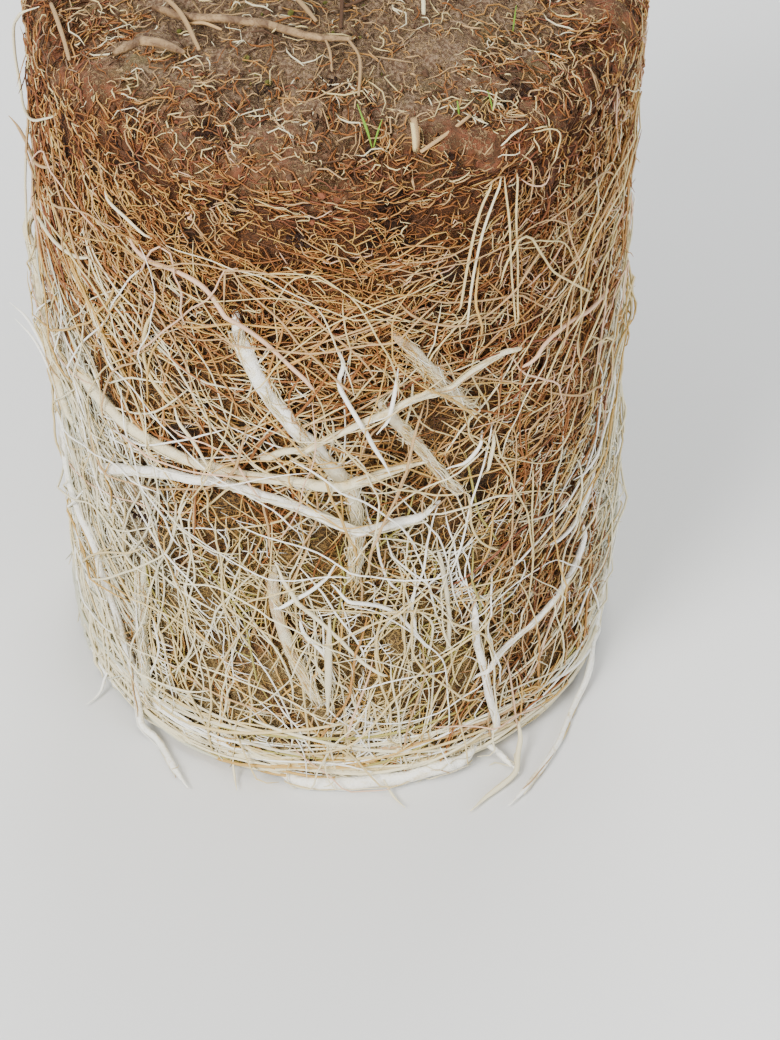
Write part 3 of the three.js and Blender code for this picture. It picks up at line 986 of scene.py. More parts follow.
@dataclass(frozen=True)
class Strand:
    """A root with a given route: (degrees round, millimetres up[, millimetres out]) points."""

    thick: float
    route: Waypoints
    tone: Tone = Tone.WHITE


@dataclass(frozen=True)
class MainRoot:
    """A main root, which stands for a solid of the same name."""

    node: str
    finish: str
    strands: tuple[Strand, ...]


BACK_THICK = (7, 5, 6, 4.5, 8, 5.5)
BACK_SEED = 71


def back_roots() -> list[MainRoot]:
    """Finds the roots at the back and sides, out of the solids' own seeded walk.

    Returns:
        The main roots.
    """
    made = []
    for k, thick in enumerate(BACK_THICK):
        draw = Draws(Draws.child(BACK_SEED, k))
        degrees = 108.0 + 27.0 * k
        z = mix(250, 420, draw.next())
        way = -1 if draw.next() < 0.5 else 1
        route = []
        for _ in range(7):
            route.append((degrees, z))
            degrees += way * 9 * mix(0.4, 1.5, draw.next())
            z -= 26 * mix(0.1, 1.6, draw.next())
        made.append(MainRoot(f"root_back_{k + 1}", "cream", (Strand(thick, tuple(route)),)))
    return made


MAIN_ROOTS = (
    MainRoot("root_buried_beige", "beige", (
        Strand(7, ((-14, 190), (-13, 150), (-10, 116), (-6, 86), (-3, 64))),
    )),
    MainRoot("root_white_diagonal", "fading", (Strand(9, (
        (-20, 378), (-18, 356), (-14, 328), (-9, 302), (-3, 274), (2, 248), (3, 205), (1, 160),
    )),)),
    MainRoot("root_thick_beige", "beige", (
        Strand(8, ((8, 370), (13, 352), (17, 332), (22, 311), (29, 284))),
    )),
    MainRoot("root_lower_beige", "beige", (
        Strand(6.5, ((5, 324), (10, 301), (15, 276), (20, 249), (26, 222))),
    )),
    MainRoot("root_left_pale", "grey", (Strand(8, ((-43, 162), (-44.5, 110), (-45, 57), (-44, 12))),)),
    MainRoot("root_lower_swag", "white", (Strand(6.5, (
        (-58, 198), (-50, 213), (-41, 230), (-31, 241), (-19, 243), (-8, 233), (2, 226), (12, 221), (21, 226),
    )),)),
    MainRoot("root_upper_swag", "cream", (Strand(6.5, (
        (-65, 272), (-55, 266), (-45, 259), (-33, 255), (-20, 254), (-8, 257), (4, 262), (16, 270),
    )),)),
    MainRoot("root_long_crossing", "cream", (Strand(4, (
        (-17, 261), (-8, 285), (2, 301), (12, 317), (22, 326), (32, 329), (39, 321),
    )),)),
    MainRoot("root_base_ring", "white", (
        Strand(9.5, (
            (-17, 5, 0.5), (-4, 5, 0.5), (8, 5, 0.5), (19, 7, 0.5), (27, 8.5, 0.5), (32.5, 10, 0.5),
        )),
        Strand(7, ((31, 9, 2.2), (33, 6, 9), (33.6, 4, 20), (33.4, 4, 28))),
        Strand(5, ((32, 9, 2), (34, 24, 0.4), (32.5, 48), (30, 85), (28, 115), (27.5, 145))),
    )),
    MainRoot("root_right_long", "white", (Strand(4, (
        (61, 143), (59, 120), (54, 106), (45, 94), (36, 88), (31, 79), (28.5, 68),
    )),)),
    MainRoot("root_left_long", "white", (Strand(5, (
        (-94, 300), (-91, 232), (-82, 172), (-70, 150), (-60, 138), (-56, 112),
        (-52, 74), (-50, 44, 0.3), (-48, 18, 1.4), (-44, 4, 5), (-38, 3, 14), (-29.5, 3, 30),
    )),)),
    MainRoot("root_right_hanging", "white", (Strand(3.6, (
        (84, 118), (81, 76, 0.4), (75, 40, 0.6), (66, 14, 3), (56, 3, 13), (40, 3, 32), (28, 3, 49),
    )),)),
)

THIN_ROOTS = (
    Strand(2.8, ((62, 190), (60, 172), (57, 157), (53, 149), (45, 149))),
    Strand(1.6, ((30, 460), (27, 444), (25, 424), (23, 390), (22, 365)), Tone.STRAW),
    Strand(1.5, ((31.5, 462), (28.8, 440), (26.6, 420), (24.6, 388), (23.6, 350)), Tone.CREAM),
    Strand(1.4, ((30.5, 460), (32.5, 420), (33.5, 384), (35, 335)), Tone.STRAW),
    Strand(1.4, ((34, 462), (34, 422), (35, 387), (35, 340)), Tone.STRAW),
    Strand(1.3, ((30, 474), (32, 481), (35, 483), (39, 481)), Tone.CREAM),
    Strand(1.0, ((34, 472), (36.5, 462), (37.6, 446), (37, 420)), Tone.TAN),
    Strand(1.0, ((36, 478), (40, 477), (43.5, 471), (43.4, 456), (42, 438)), Tone.STRAW),
    Strand(1.0, ((43, 442), (40, 435), (37, 440), (34, 451)), Tone.PINK),
    Strand(0.9, ((29.5, 470), (31, 476), (33.5, 472), (35, 478)), Tone.CREAM),
    Strand(2.6, ((66, 314), (61, 317), (55, 318), (49, 322), (41, 320), (38, 315), (34, 308)), Tone.PINK),
    Strand(2.8, ((-0.5, 357), (1, 345), (0, 333), (1.3, 321), (4, 306), (6, 289), (8, 275), (9, 267))),
    Strand(2.6, ((10.6, 343), (10, 328), (8.3, 310), (6.5, 300))),
    Strand(2.6, ((31, 274), (30, 257), (29, 234)), Tone.CREAM),
    Strand(2.4, ((29, 276), (26.6, 262), (23.4, 256), (20.6, 254))),
    Strand(2.8, (
        (-43, 402), (-36, 392), (-31, 393), (-25, 391), (-19, 378), (-13, 358), (-6, 333), (-3, 318),
    ), Tone.PINK),
    Strand(2.4, (
        (-37, 353), (-39, 337), (-40, 321), (-39.5, 308), (-38, 299), (-35, 291), (-32, 282),
    ), Tone.STRAW),
    Strand(2.4, ((-34, 288), (-29, 273), (-24, 255)), Tone.CREAM),
    Strand(2.6, ((-13.7, 151), (-10, 160), (-6.5, 165), (-3.5, 174), (-0.5, 186))),
    Strand(2.8, ((-9, 146), (-7.6, 133), (-5, 123), (-3.5, 116), (-3.5, 103))),
    Strand(2.6, ((-13, 187), (-7, 154), (0, 126), (4, 109), (7.5, 98), (10.5, 88)), Tone.CREAM),
    Strand(2.6, ((-2, 175), (1.5, 167), (6, 158), (10.4, 148), (13.3, 134), (16.3, 118), (19.2, 103))),
    Strand(5.0, ((-2.5, 143), (-2.8, 110), (-3, 75)), Tone.BUFF),
    Strand(3.0, ((19, 196), (20.6, 165), (21.8, 132), (22, 96)), Tone.BUFF),
    Strand(3.6, ((41, 16, 1), (37, 8, 8), (30, 3, 28), (21.7, 3, 42)), Tone.CREAM),
    Strand(2.6, ((-70, 60), (-68, 30, 0.5), (-66, 8, 3), (-64, 4, 9)), Tone.CREAM),
    Strand(2.0, ((-78, 198, 0), (-84, 212, 1), (-88, 222, 6), (-92, 230, 14), (-94, 236, 24))),
    Strand(1.8, ((-77, 190, 0), (-83, 204, 1), (-88, 214, 7), (-91, 221, 14), (-93, 226, 22))),
    Strand(1.8, (
        (-81, 482, 1), (-88, 455, 4), (-91, 425, 6), (-89, 402, 4), (-80, 408, 1), (-64, 441),
    ), Tone.CREAM),
    Strand(1.6, ((-87, 388, 1), (-91, 368, 4), (-92, 330, 6), (-92, 290, 6), (-91, 262, 6)), Tone.CREAM),
    Strand(2.4, ((-85, 336), (-72, 350), (-64, 353), (-58, 357), (-52, 365)), Tone.CREAM),
    Strand(2.0, ((-48, 428), (-44.5, 420), (-40.5, 415), (-37, 410), (-34, 404)), Tone.CREAM),
    Strand(2.2, ((-65, 404), (-74.5, 388), (-84, 380, 2), (-90, 378, 8), (-93, 378, 14)), Tone.TAN),
    Strand(2.2, ((-62, 20, 1), (-61, 8, 5), (-60, 3, 14), (-59, 3, 24))),
    Strand(2.2, ((-24, 12, 3), (-23, 4, 9), (-21, 3, 20)), Tone.CREAM),
    Strand(2.4, ((8, 9, 9), (9, 3, 15), (11, 3, 28)), Tone.CREAM),
)


LOW_DRAPES = (Tone.STRAW, Tone.CREAM, Tone.WHITE, Tone.PINK, Tone.GOLD)
HIGH_DRAPES = (Tone.STRAW, Tone.TAN, Tone.GOLD, Tone.PINK, Tone.OCHRE)
DRAPE_SHARES = (0.28, 0.34, 0.22, 0.08, 0.08)
CLINGING = (Tone.CREAM, Tone.STRAW, Tone.BUFF, Tone.WHITE, Tone.GOLD, Tone.TAN)
CLINGING_SHARES = (0.3, 0.2, 0.2, 0.12, 0.1, 0.08)


class RootLayer:
    """Lays roots on the ball, each over those before it, as the solids do."""

    step = 0.006
    seat = 0.0003
    crossing = 0.0011
    sag = 0.00022
    rounds = 60

    def __init__(self, ball: Ball) -> None:
        """Starts with a bare ball."""
        self.ball = ball
        self.laid: list[tuple[Array, Array, float]] = []

    def even(self, strand: Strand, lift: float) -> Array:
        """Lays a route on the ball in even steps, before any crossing.

        Args:
            strand: The root.
            lift: How far it stands off the ball.

        Returns:
            One point to a row.
        """
        radius = strand.thick * MM / 2
        controls = np.array([(*point, 0)[:3] for point in strand.route], dtype=float)
        drawn = Route(controls).raw(np.linspace(0, 1, 201))
        z = np.maximum(drawn[:, 1] * MM, radius + self.seat)
        out = drawn[:, 2] * MM + radius + self.seat + lift
        placed = self.ball.skin(np.radians(drawn[:, 0]), z, out)
        walked = np.concatenate([[0], np.cumsum(np.linalg.norm(np.diff(placed, axis=0), axis=1))])
        count = max(4, round(walked[-1] / self.step))
        wanted = np.linspace(0, walked[-1], count + 1)
        return np.stack([np.interp(wanted, walked, placed[:, k]) for k in range(3)], axis=-1)

    def rises(self, points: Array, radius: float) -> Array:
        """Finds how far a root has to rise to pass over those laid before it.

        Args:
            points: The root's points.
            radius: Its radius.

        Returns:
            The rise of each point.
        """
        need = np.zeros(len(points))
        for base, risen, thick in self.laid:
            clear = radius + thick + self.crossing
            apart = np.linalg.norm(points[:, None] - base[None], axis=-1)
            over = thick + risen[None] + np.sqrt(np.maximum(clear * clear - apart * apart, 0))
            need = np.maximum(need, np.where(apart < clear, over - radius, 0).max(axis=1))
        settled = need.copy()
        if not need.any():
            return settled
        for _ in range(self.rounds):
            for i in range(len(settled)):
                before = settled[max(0, i - 1)]
                after = settled[min(len(settled) - 1, i + 1)]
                settled[i] = max(need[i], 0.5 * (before + after) - self.sag)
        return settled

    def lay(self, strand: Strand, lift: float = 0.0) -> Route:
        """Lays one root.

        Args:
            strand: The root.
            lift: How far it stands off the ball.

        Returns:
            Its middle line.
        """
        radius = strand.thick * MM / 2
        base = self.even(strand, lift)
        risen = self.rises(base, radius)
        self.laid.append((base, risen, radius))
        level = np.hypot(base[:, 0], base[:, 1])
        scale = ((level + risen) / level)[:, None]
        return Route(np.concatenate([base[:, :2] * scale, base[:, 2:]], axis=1))


@dataclass
class MainRoots:
    """The thick roots that wrap the ball, and the long thin ones that drape over them."""

    ball: Ball
    sides: int = 14
    ring: float = 0.0024
    knobs: float = 0.11
    lift: float = 0.0012
    sunk: float = -0.0011
    dive: float = 0.003
    thin_lift: float = 0.0022
    thin_ring: float = 0.003
    thin_dive: float = 0.0035
    draped: int = 400
    drape_seed: int = 91
    drape_levels: Span = (25, 395)
    drape_thick: Span = (0.8, 1.7)
    drape_top: float = 425
    drape_round: float = 16
    drape_step: float = 16
    drape_lift: float = 0.0026
    drape_ring: float = 0.0068
    drape_turned: Span = (38, 90)
    cling_seed: int = 64
    cling_rings: int = 9
    cling_length: Span = (0.014, 0.045)
    cling_radius: Span = (0.0003, 0.00062)
    cling_count: Span = (60, 520)
    cling_across: float = 0.45
    noise: Noise = field(default_factory=lambda: Noise(23))

    def skin(
        self, line: Route, radius: float, sides: int, ring: float, dive: float = 0.0, blunt: float = 0.3
    ) -> Surface:
        """The surface of one root: knobbly, tapering and thin at both ends.

        Args:
            line: The root's middle line.
            radius: Its radius.
            sides: Corners in a ring.
            ring: The spacing of the rings.
            dive: How far its ends sink towards the ball.
            blunt: The radius's share that is left at an end that doesn't dive.

        Returns:
            The points and faces of the tube.
        """
        count = max(8, round(line.length / ring))
        shares = np.linspace(0, 1, count)
        path = line.at(shares)
        outward = unit(path * LEVEL)
        from_end = np.minimum(shares, 1 - shares) * line.length
        off_ball = np.hypot(path[[0, -1], 0], path[[0, -1], 1]) > self.ball.foot_radius + 0.014
        kept = np.where(shares < 0.5, off_ball[0], off_ball[1])
        fades = 0.012 + 5 * radius
        sink = dive * (1 - smooth_step(0, 0.7 * fades, from_end)) * (1 - kept)
        path = path - outward * sink[:, None]
        waver = np.stack([self.noise.at(path + k, 60.0) for k in range(3)], axis=-1) * radius * 0.3
        path = path + waver * smooth_step(0, 0.02, from_end)[:, None]
        tip = np.where(kept, 0.2, 0.35) if dive else blunt
        taper = mix(1.04, 0.86, shares) * mix(tip, 1, smooth_step(-0.003, fades if dive else 0.016, from_end))
        around = TAU * np.arange(sides) / sides
        hoop = np.stack([np.cos(around), np.sin(around), 0 * around], axis=-1)[None]
        lumps = self.noise.at(path[:, None, :] + radius * hoop, 95.0)
        lumps = lumps + 0.6 * self.noise.at(path[:, None, :] + radius * hoop, 330.0)
        radii = radius * taper[:, None] * (1 + self.knobs * lumps)
        path[:, 2] = np.maximum(path[:, 2], radii.max(axis=1) + 0.0002)
        return tubes(path[None], radii[None], sides, outward[None])

    def drapes(self, layer: RootLayer, palette: Palette) -> MeshParts:
        """Draws the long fine roots that cross over all the others.

        Args:
            layer: Holds the roots that lie below them.
            palette: Plain materials.

        Returns:
            The parts of the joined mesh.
        """
        rng = default_rng(self.drape_seed)
        parts = MeshParts()
        step, top = self.drape_step, self.drape_top
        for _ in range(self.draped):
            degrees, z = rng.uniform(-180, 180), rng.uniform(*self.drape_levels)
            tones = LOW_DRAPES if z < 300 + rng.normal(0, 25) else HIGH_DRAPES
            heading = rng.uniform(0, TAU)
            if self.drape_turned[0] < degrees < self.drape_turned[1]:
                heading = math.radians(50) + rng.normal(0, 0.4)
            turn = rng.normal(0, 0.13)
            route = []
            for _ in range(rng.integers(5, 12)):
                route.append((degrees, top - math.hypot(top - max(z, 6), self.drape_round)))
                heading += turn + rng.normal(0, 0.16)
                degrees += math.degrees(math.cos(heading) * (step * MM) / self.ball.foot_radius)
                z += math.sin(heading) * step
            strand = Strand(rng.uniform(*self.drape_thick), tuple(route))
            line = layer.lay(strand, self.drape_lift)
            points, faces = self.skin(line, strand.thick * MM / 2, 4, self.drape_ring, self.thin_dive)
            parts.add(points, faces, palette.index(tones[rng.choice(len(tones), p=DRAPE_SHARES)]))
        return parts

    def sheath(self, lines: list[tuple[Route, float, bool]], palette: Palette) -> MeshParts:
        """Draws the fine roots that cling to the thick ones, along them and over them.

        Args:
            lines: Each thick root's middle line, its radius, and whether it is well covered.
            palette: Plain materials.

        Returns:
            The parts of the joined mesh.
        """
        rng = default_rng(self.cling_seed)
        parts = MeshParts()
        rings = self.cling_rings
        share = np.linspace(0, 1, rings)[None, :]
        choice = palette.indices(CLINGING)
        for line, thick, covered in lines:
            count = round(line.length * self.cling_count[covered])
            span = rng.uniform(*self.cling_length, count)[:, None] / line.length
            clear = min(0.014 / line.length, 0.4)
            spots = rng.uniform(clear, 1 - clear, count)[:, None] + span * (share - 0.5)
            along = np.clip(spots, clear, 1 - clear)
            across = rng.random(count) < self.cling_across
            crossing = np.where(across, rng.normal(0, 3.2, count), rng.normal(0, 0.5, count))
            sway = rng.uniform(0.05, 0.3, count)[:, None]
            sway = sway * np.sin(TAU * (share * 1.3 + rng.random(count)[:, None]))
            off = rng.uniform(-1.2, 1.2, count)[:, None] + crossing[:, None] * (share - 0.5) + sway
            path = line.at(along.ravel()).reshape(count, rings, 3)
            ahead = unit(line.at(np.minimum(along + 1e-3, 1).ravel()) - line.at((along - 1e-3).ravel()))
            outward = unit(path * LEVEL)
            aside = unit(np.cross(outward, ahead.reshape(path.shape)))
            over = np.sqrt(np.maximum(1 - off * off, 0)) - 0.7 * smooth_step(0.9, 1.8, np.abs(off))
            path = path + thick * (off[..., None] * aside + over[..., None] * outward) + 0.00025 * outward
            path[..., 2] = np.maximum(path[..., 2], 0.0009)
            thin = 1 - 0.75 * np.abs(2 * share - 1) ** 5
            radius = rng.uniform(*self.cling_radius, count)[:, None] * thin
            slots = rng.choice(choice, count, p=CLINGING_SHARES)
            parts.add_tubes(tubes(path, radius, 3, outward), slots)
        return parts

    def build(self, finishes: dict[str, Material], palette: Palette) -> Dressing:
        """Makes every main root and the joined thin ones.

        Args:
            finishes: Materials by finish name.
            palette: Plain materials for the thin roots.

        Returns:
            (piece, nodes that it replaces) pairs.
        """
        layer = RootLayer(self.ball)
        made = []
        lines = []
        for root in [*MAIN_ROOTS, *back_roots()]:
            covered = root.finish in ("beige", "grey", "fading")
            parts = MeshParts()
            others = list(layer.laid)
            own = []
            for strand in root.strands:
                layer.laid = list(others)
                line = layer.lay(strand, self.sunk if covered else self.lift)
                radius = strand.thick * MM / 2
                lines.append((line, radius, covered))
                own.append(layer.laid[-1])
                parts.add(*self.skin(line, radius, self.sides, self.ring, 1.3 * radius + self.dive))
            layer.laid = others + own
            made.append((parts.build(root.node + "_skin", [finishes[root.finish]]), [root.node]))
        thin = MeshParts()
        for strand in THIN_ROOTS:
            radius = strand.thick * MM / 2
            line = layer.lay(strand, self.thin_lift)
            points, faces = self.skin(line, radius, 7, self.thin_ring, 1.3 * radius + self.thin_dive)
            thin.add(points, faces, palette.index(strand.tone))
        made.append((thin.build("thin_roots", palette.materials), ["root_ball"]))
        made.append((self.drapes(layer, palette).build("draped_roots", palette.materials), ["root_ball"]))
        made.append((self.sheath(lines, palette).build("clinging_roots", palette.materials), ["root_ball"]))
        return made


@dataclass(frozen=True)
class Patch:
    """A patch of the side, between two angles from the front in degrees and two heights in metres."""

    first: float
    last: float
    low: float = -1.0
    high: float = 1.0

    def holds(self, degrees: Array, z: Array) -> Array:
        """Which places lie in the patch."""
        return (degrees > self.first) & (degrees < self.last) & (z > self.low) & (z < self.high)


class Zone(Enum):
    """Bands of the mat, each with its own tones and their shares."""

    RIM = {Tone.EARTH: 10, Tone.RUST: 26, Tone.CLAY: 14, Tone.OCHRE: 24, Tone.TAN: 18, Tone.STRAW: 8}
    UPPER = {Tone.RUST: 14, Tone.OCHRE: 30, Tone.GOLD: 20, Tone.TAN: 18, Tone.STRAW: 14, Tone.PINK: 4}
    MIDDLE = {
        Tone.OCHRE: 14, Tone.GOLD: 18, Tone.TAN: 14, Tone.STRAW: 24,
        Tone.CREAM: 22, Tone.RUST: 4, Tone.WHITE: 4,
    }
    LOWER = {Tone.STRAW: 24, Tone.CREAM: 38, Tone.WHITE: 22, Tone.GOLD: 7, Tone.TAN: 3, Tone.OLIVE: 6}
    FOOT = {Tone.CREAM: 36, Tone.WHITE: 18, Tone.STRAW: 24, Tone.GOLD: 11, Tone.BUFF: 7, Tone.OLIVE: 4}
    FELT = {Tone.GREY: 24, Tone.WHITE: 14, Tone.CREAM: 30, Tone.BUFF: 32}
    BROWN = {
        Tone.TAN: 26, Tone.OCHRE: 20, Tone.RUST: 22, Tone.STRAW: 13,
        Tone.PINK: 8, Tone.CREAM: 5, Tone.CLAY: 6,
    }

    @property
    def index(self) -> int:
        """The zone's place in the list of zones."""
        return list(Zone).index(self)


ZONE_BORDERS = {Zone.RIM: 0.448, Zone.UPPER: 0.36, Zone.MIDDLE: 0.245, Zone.LOWER: 0.06}
BROWN_PATCHES = (Patch(34, 82, 0.05, 0.45), Patch(15, 82, 0.33, 0.45), Patch(-112, -58, 0.3, 0.46))
BROWN_EDGE = Patch(-112, -58, 0.35)
BROWN_BAND = Patch(-40, 40, 0.322, 0.378)
MAT_TONES = (
    Tone.DARK, Tone.EARTH, Tone.RUST, Tone.OCHRE, Tone.GOLD, Tone.TAN, Tone.STRAW, Tone.CREAM,
    Tone.WHITE, Tone.GREY, Tone.BUFF, Tone.OLIVE, Tone.PINK, Tone.CLAY, Tone.UMBER,
)
# Each tone's darker partner, painted as shade on strands that lie low.
SHADED_TONES = {
    Tone.EARTH: Tone.DARK, Tone.CLAY: Tone.EARTH, Tone.RUST: Tone.EARTH, Tone.OCHRE: Tone.RUST,
    Tone.GOLD: Tone.OCHRE, Tone.TAN: Tone.RUST, Tone.STRAW: Tone.GOLD, Tone.CREAM: Tone.TAN,
    Tone.WHITE: Tone.STRAW, Tone.GREY: Tone.TAN, Tone.BUFF: Tone.TAN, Tone.PINK: Tone.OCHRE,
}


class Lie(Enum):
    """How a kind of strand runs over the ball."""

    TANGLED = "tangled"
    DRAWN = "drawn"
    CIRCLING = "circling"
    STRAY = "stray"


@dataclass(frozen=True)
class StrandKind:
    """One kind of fine root in the mat, in millimetres."""

    name: str
    lie: Lie
    count: int
    thick: Span
    length: Span
    rings: int
    height: Span
    bend: float
    curl: float
    curls: Span
    levels: Span
    # deep: the share of strands that lie low and take a darker tone as painted shade.
    deep: float = 0.0
    tidy: float = 0.4
    laterals: int = 0
    spans: Span = (-180, 180)


MAT_KINDS = (
    StrandKind(
        "nap", Lie.TANGLED, 4200, (0.6, 1.0), (8, 20), 4, (-0.3, 1.7), 1.6, 1.2, (0.5, 1.4),
        levels=(365, 500), deep=0.35, tidy=0.5,
    ),
    StrandKind(
        "wool", Lie.TANGLED, 1900, (0.6, 1.0), (16, 36), 7, (-0.2, 2.8), 2.4, 1.5, (0.8, 1.9),
        levels=(70, 430), deep=0.5, tidy=0.15, spans=(33, 90),
    ),
    StrandKind(
        "curl", Lie.TANGLED, 6300, (0.7, 1.2), (12, 32), 6, (-0.5, 2.4), 1.7, 1.1, (0.6, 1.6),
        levels=(310, 540), deep=0.35, tidy=0.55,
    ),
    StrandKind(
        "hair", Lie.TANGLED, 3200, (0.5, 0.9), (16, 44), 6, (-0.5, 2.2), 1.6, 0.9, (0.8, 2.0),
        levels=(2, 400), deep=0.55,
    ),
    StrandKind(
        "fine", Lie.TANGLED, 2700, (0.7, 1.3), (34, 84), 8, (0.1, 3.2), 1.0, 0.5, (0.8, 2.2),
        levels=(2, 425), deep=0.35, tidy=0.55, laterals=3,
    ),
    StrandKind(
        "drawn", Lie.DRAWN, 950, (0.9, 1.7), (55, 140), 12, (0.8, 3.8), 0.5, 0.24, (0.7, 1.8),
        levels=(2, 370), deep=0.1, tidy=0.8, laterals=8,
    ),
    StrandKind(
        "circling", Lie.CIRCLING, 230, (1.3, 2.8), (70, 210), 15, (0.2, 3.2), 0.25, 0.12, (0.6, 1.4),
        levels=(2, 48),
    ),
    StrandKind(
        "stray", Lie.STRAY, 300, (0.5, 1.0), (14, 48), 8, (0.6, 9.0), 1.0, 0.5, (0.6, 1.8),
        levels=(4, 470),
    ),
)


@dataclass
class Tangle:
    """Strands of one kind as curves on the unrolled side."""

    turn: Array
    way: Array
    heading: Array
    out: Array
    radius: Array
    slots: Array


@dataclass
class RootMat:
    """The mat of fine roots that holds the ball, strand by strand."""

    ball: Ball
    seed: int = 5
    most: int = 190000
    slanting: Patch = Patch(78, 140)
    combed: Patch = Patch(-170, 170, 0.37)
    level_rim: Patch = Patch(-18, 30)
    upright: Patch = Patch(-45, 45, high=0.24)
    falling: Patch = Patch(-130, -45, high=0.36)
    steep_below: float = 0.19
    foot: float = 0.03
    ragged: float = 0.018
    # Hollows of painted shade: their lumps to the metre and their seed.
    hollows: float = 27.0
    hollow_seed: int = 47
    woolly: Patch = Patch(34, 82, 0.08, 0.42)
    thinned: float = 0.75
    side_rings: int = 4
    side_gap: float = 0.055
    side_length: Span = (0.006, 0.02)
    side_radius: Span = (0.0003, 0.00048)
    side_arch: float = 0.0012

    def felted(self, angle: Array, z: Array) -> Array:
        """Finds the places that lie in a felted stretch.

        Args:
            angle: Angles from the front.
            z: Heights.

        Returns:
            True or False for each place.
        """
        degrees = np.degrees(angle)
        inside = np.zeros(len(angle), dtype=bool)
        for felt in FELTS:
            away = np.abs((degrees - felt.middle + 180) % 360 - 180)
            inside |= (away < felt.half) & (z + 0.1 * np.radians(away) < felt.top)
        return inside

    def headings(self, kind: StrandKind, angle: Array, z: Array, rng: Generator) -> Array:
        """Draws the direction of each strand on the unrolled side.

        Args:
            kind: The kind of strand.
            angle: Each strand's angle from the front.
            z: Its height.
            rng: The row of random numbers.

        Returns:
            Directions: 0 runs round the ball, a quarter turn runs up.
        """
        count = len(angle)
        loose = rng.uniform(-math.pi / 2, math.pi / 2, count)
        if kind.lie is Lie.CIRCLING:
            return rng.normal(0, 0.15, count)
        if kind.lie is Lie.STRAY:
            return loose
        degrees = np.degrees(angle)
        slant = np.radians(48) + rng.normal(0, 0.35, count)
        upright = math.pi / 2 + rng.normal(0, 0.3, count)
        slope = np.where(z > self.steep_below, np.radians(-54), np.radians(-76))
        falling = slope + rng.normal(0, 0.22, count)
        level = rng.normal(0, 0.3, count)
        swaying = upright + 0.35 * np.sin(3 * angle + 9 * z)
        combed = np.where(self.level_rim.holds(degrees, z), level - 0.2, swaying)
        lean = np.where(self.slanting.holds(degrees, z), slant, loose)
        lean = np.where(self.combed.holds(degrees, z), combed, lean)
        lean = np.where(self.upright.holds(degrees, z), upright, lean)
        lean = np.where(self.felted(angle, z) | self.falling.holds(degrees, z), falling, lean)
        lean = np.where((z < self.foot) & (rng.random(count) < 0.5), level, lean)
        return np.where(rng.random(count) < kind.tidy, lean, loose)

    def zones(self, angle: Array, z: Array, rng: Generator) -> Array:
        """Finds the zone of each strand, with ragged borders; pale strands in hollows take the upper tones as
        painted shade.

        Args:
            angle: Each strand's angle from the front.
            z: Its height.
            rng: The row of random numbers.

        Returns:
            The index of its zone.
        """
        count = len(z)
        ragged = z + rng.normal(0, self.ragged, count) + self.ragged * np.sin(3 * angle + 0.7)
        above = [ragged > border for border in ZONE_BORDERS.values()]
        zone = np.select(above, [band.index for band in ZONE_BORDERS], Zone.FOOT.index)
        degrees = np.degrees(angle) + rng.normal(0, 7, count)
        brown = BROWN_BAND.holds(degrees, ragged) & (rng.random(count) < 0.6)
        for patch in BROWN_PATCHES:
            brown |= patch.holds(degrees, ragged)
        browner = np.where(BROWN_EDGE.holds(degrees, ragged), Zone.RIM.index, Zone.BROWN.index)
        zone = np.where(brown, browner, zone)
        # Painted shade: pale strands in hollows take the upper zone's darker tones.
        hollow_shade = Noise(self.hollow_seed).at(self.ball.skin(angle, z, 0 * z), self.hollows)
        hollow_shade = hollow_shade + rng.normal(0, 0.06, count)
        pale = (zone > Zone.UPPER.index) & (zone < Zone.FELT.index)
        zone = np.where((hollow_shade > np.where(z > 0.2, 0.2, 0.3)) & pale, Zone.UPPER.index, zone)
        strayed = angle + rng.normal(0, 0.16, count) + 0.12 * np.sin(34 * z + 2 * angle)
        felted = self.felted(strayed, ragged + rng.normal(0, 0.02, count))
        return np.where(felted, Zone.FELT.index, zone)

    def tones(self, zone: Array, sunk: Array, rng: Generator) -> Array:
        """Draws the tone of each strand, a darker one where it lies low, as painted shade of the strands over
        it.

        Args:
            zone: The index of each strand's zone.
            sunk: Whether it lies low, and so takes painted shade.
            rng: The row of random numbers.

        Returns:
            Material slots.
        """
        picked = np.zeros(len(zone), dtype=int)
        for band in Zone:
            here = np.nonzero(zone == band.index)[0]
            shades = [MAT_TONES.index(tone) for tone in band.value]
            shares = np.array(list(band.value.values()), dtype=float)
            picked[here] = rng.choice(shades, len(here), p=shares / shares.sum())
        deeper = np.array([MAT_TONES.index(SHADED_TONES.get(tone, tone)) for tone in MAT_TONES])
        return np.where(sunk & (zone != Zone.FELT.index), deeper[picked], picked)

    def limits(self, way: Array, radius: Array) -> Array:
        """Turns strands back where they would pass the foot."""
        floor = radius + 0.0004
        return np.where(way < floor, 2 * floor - way, way)

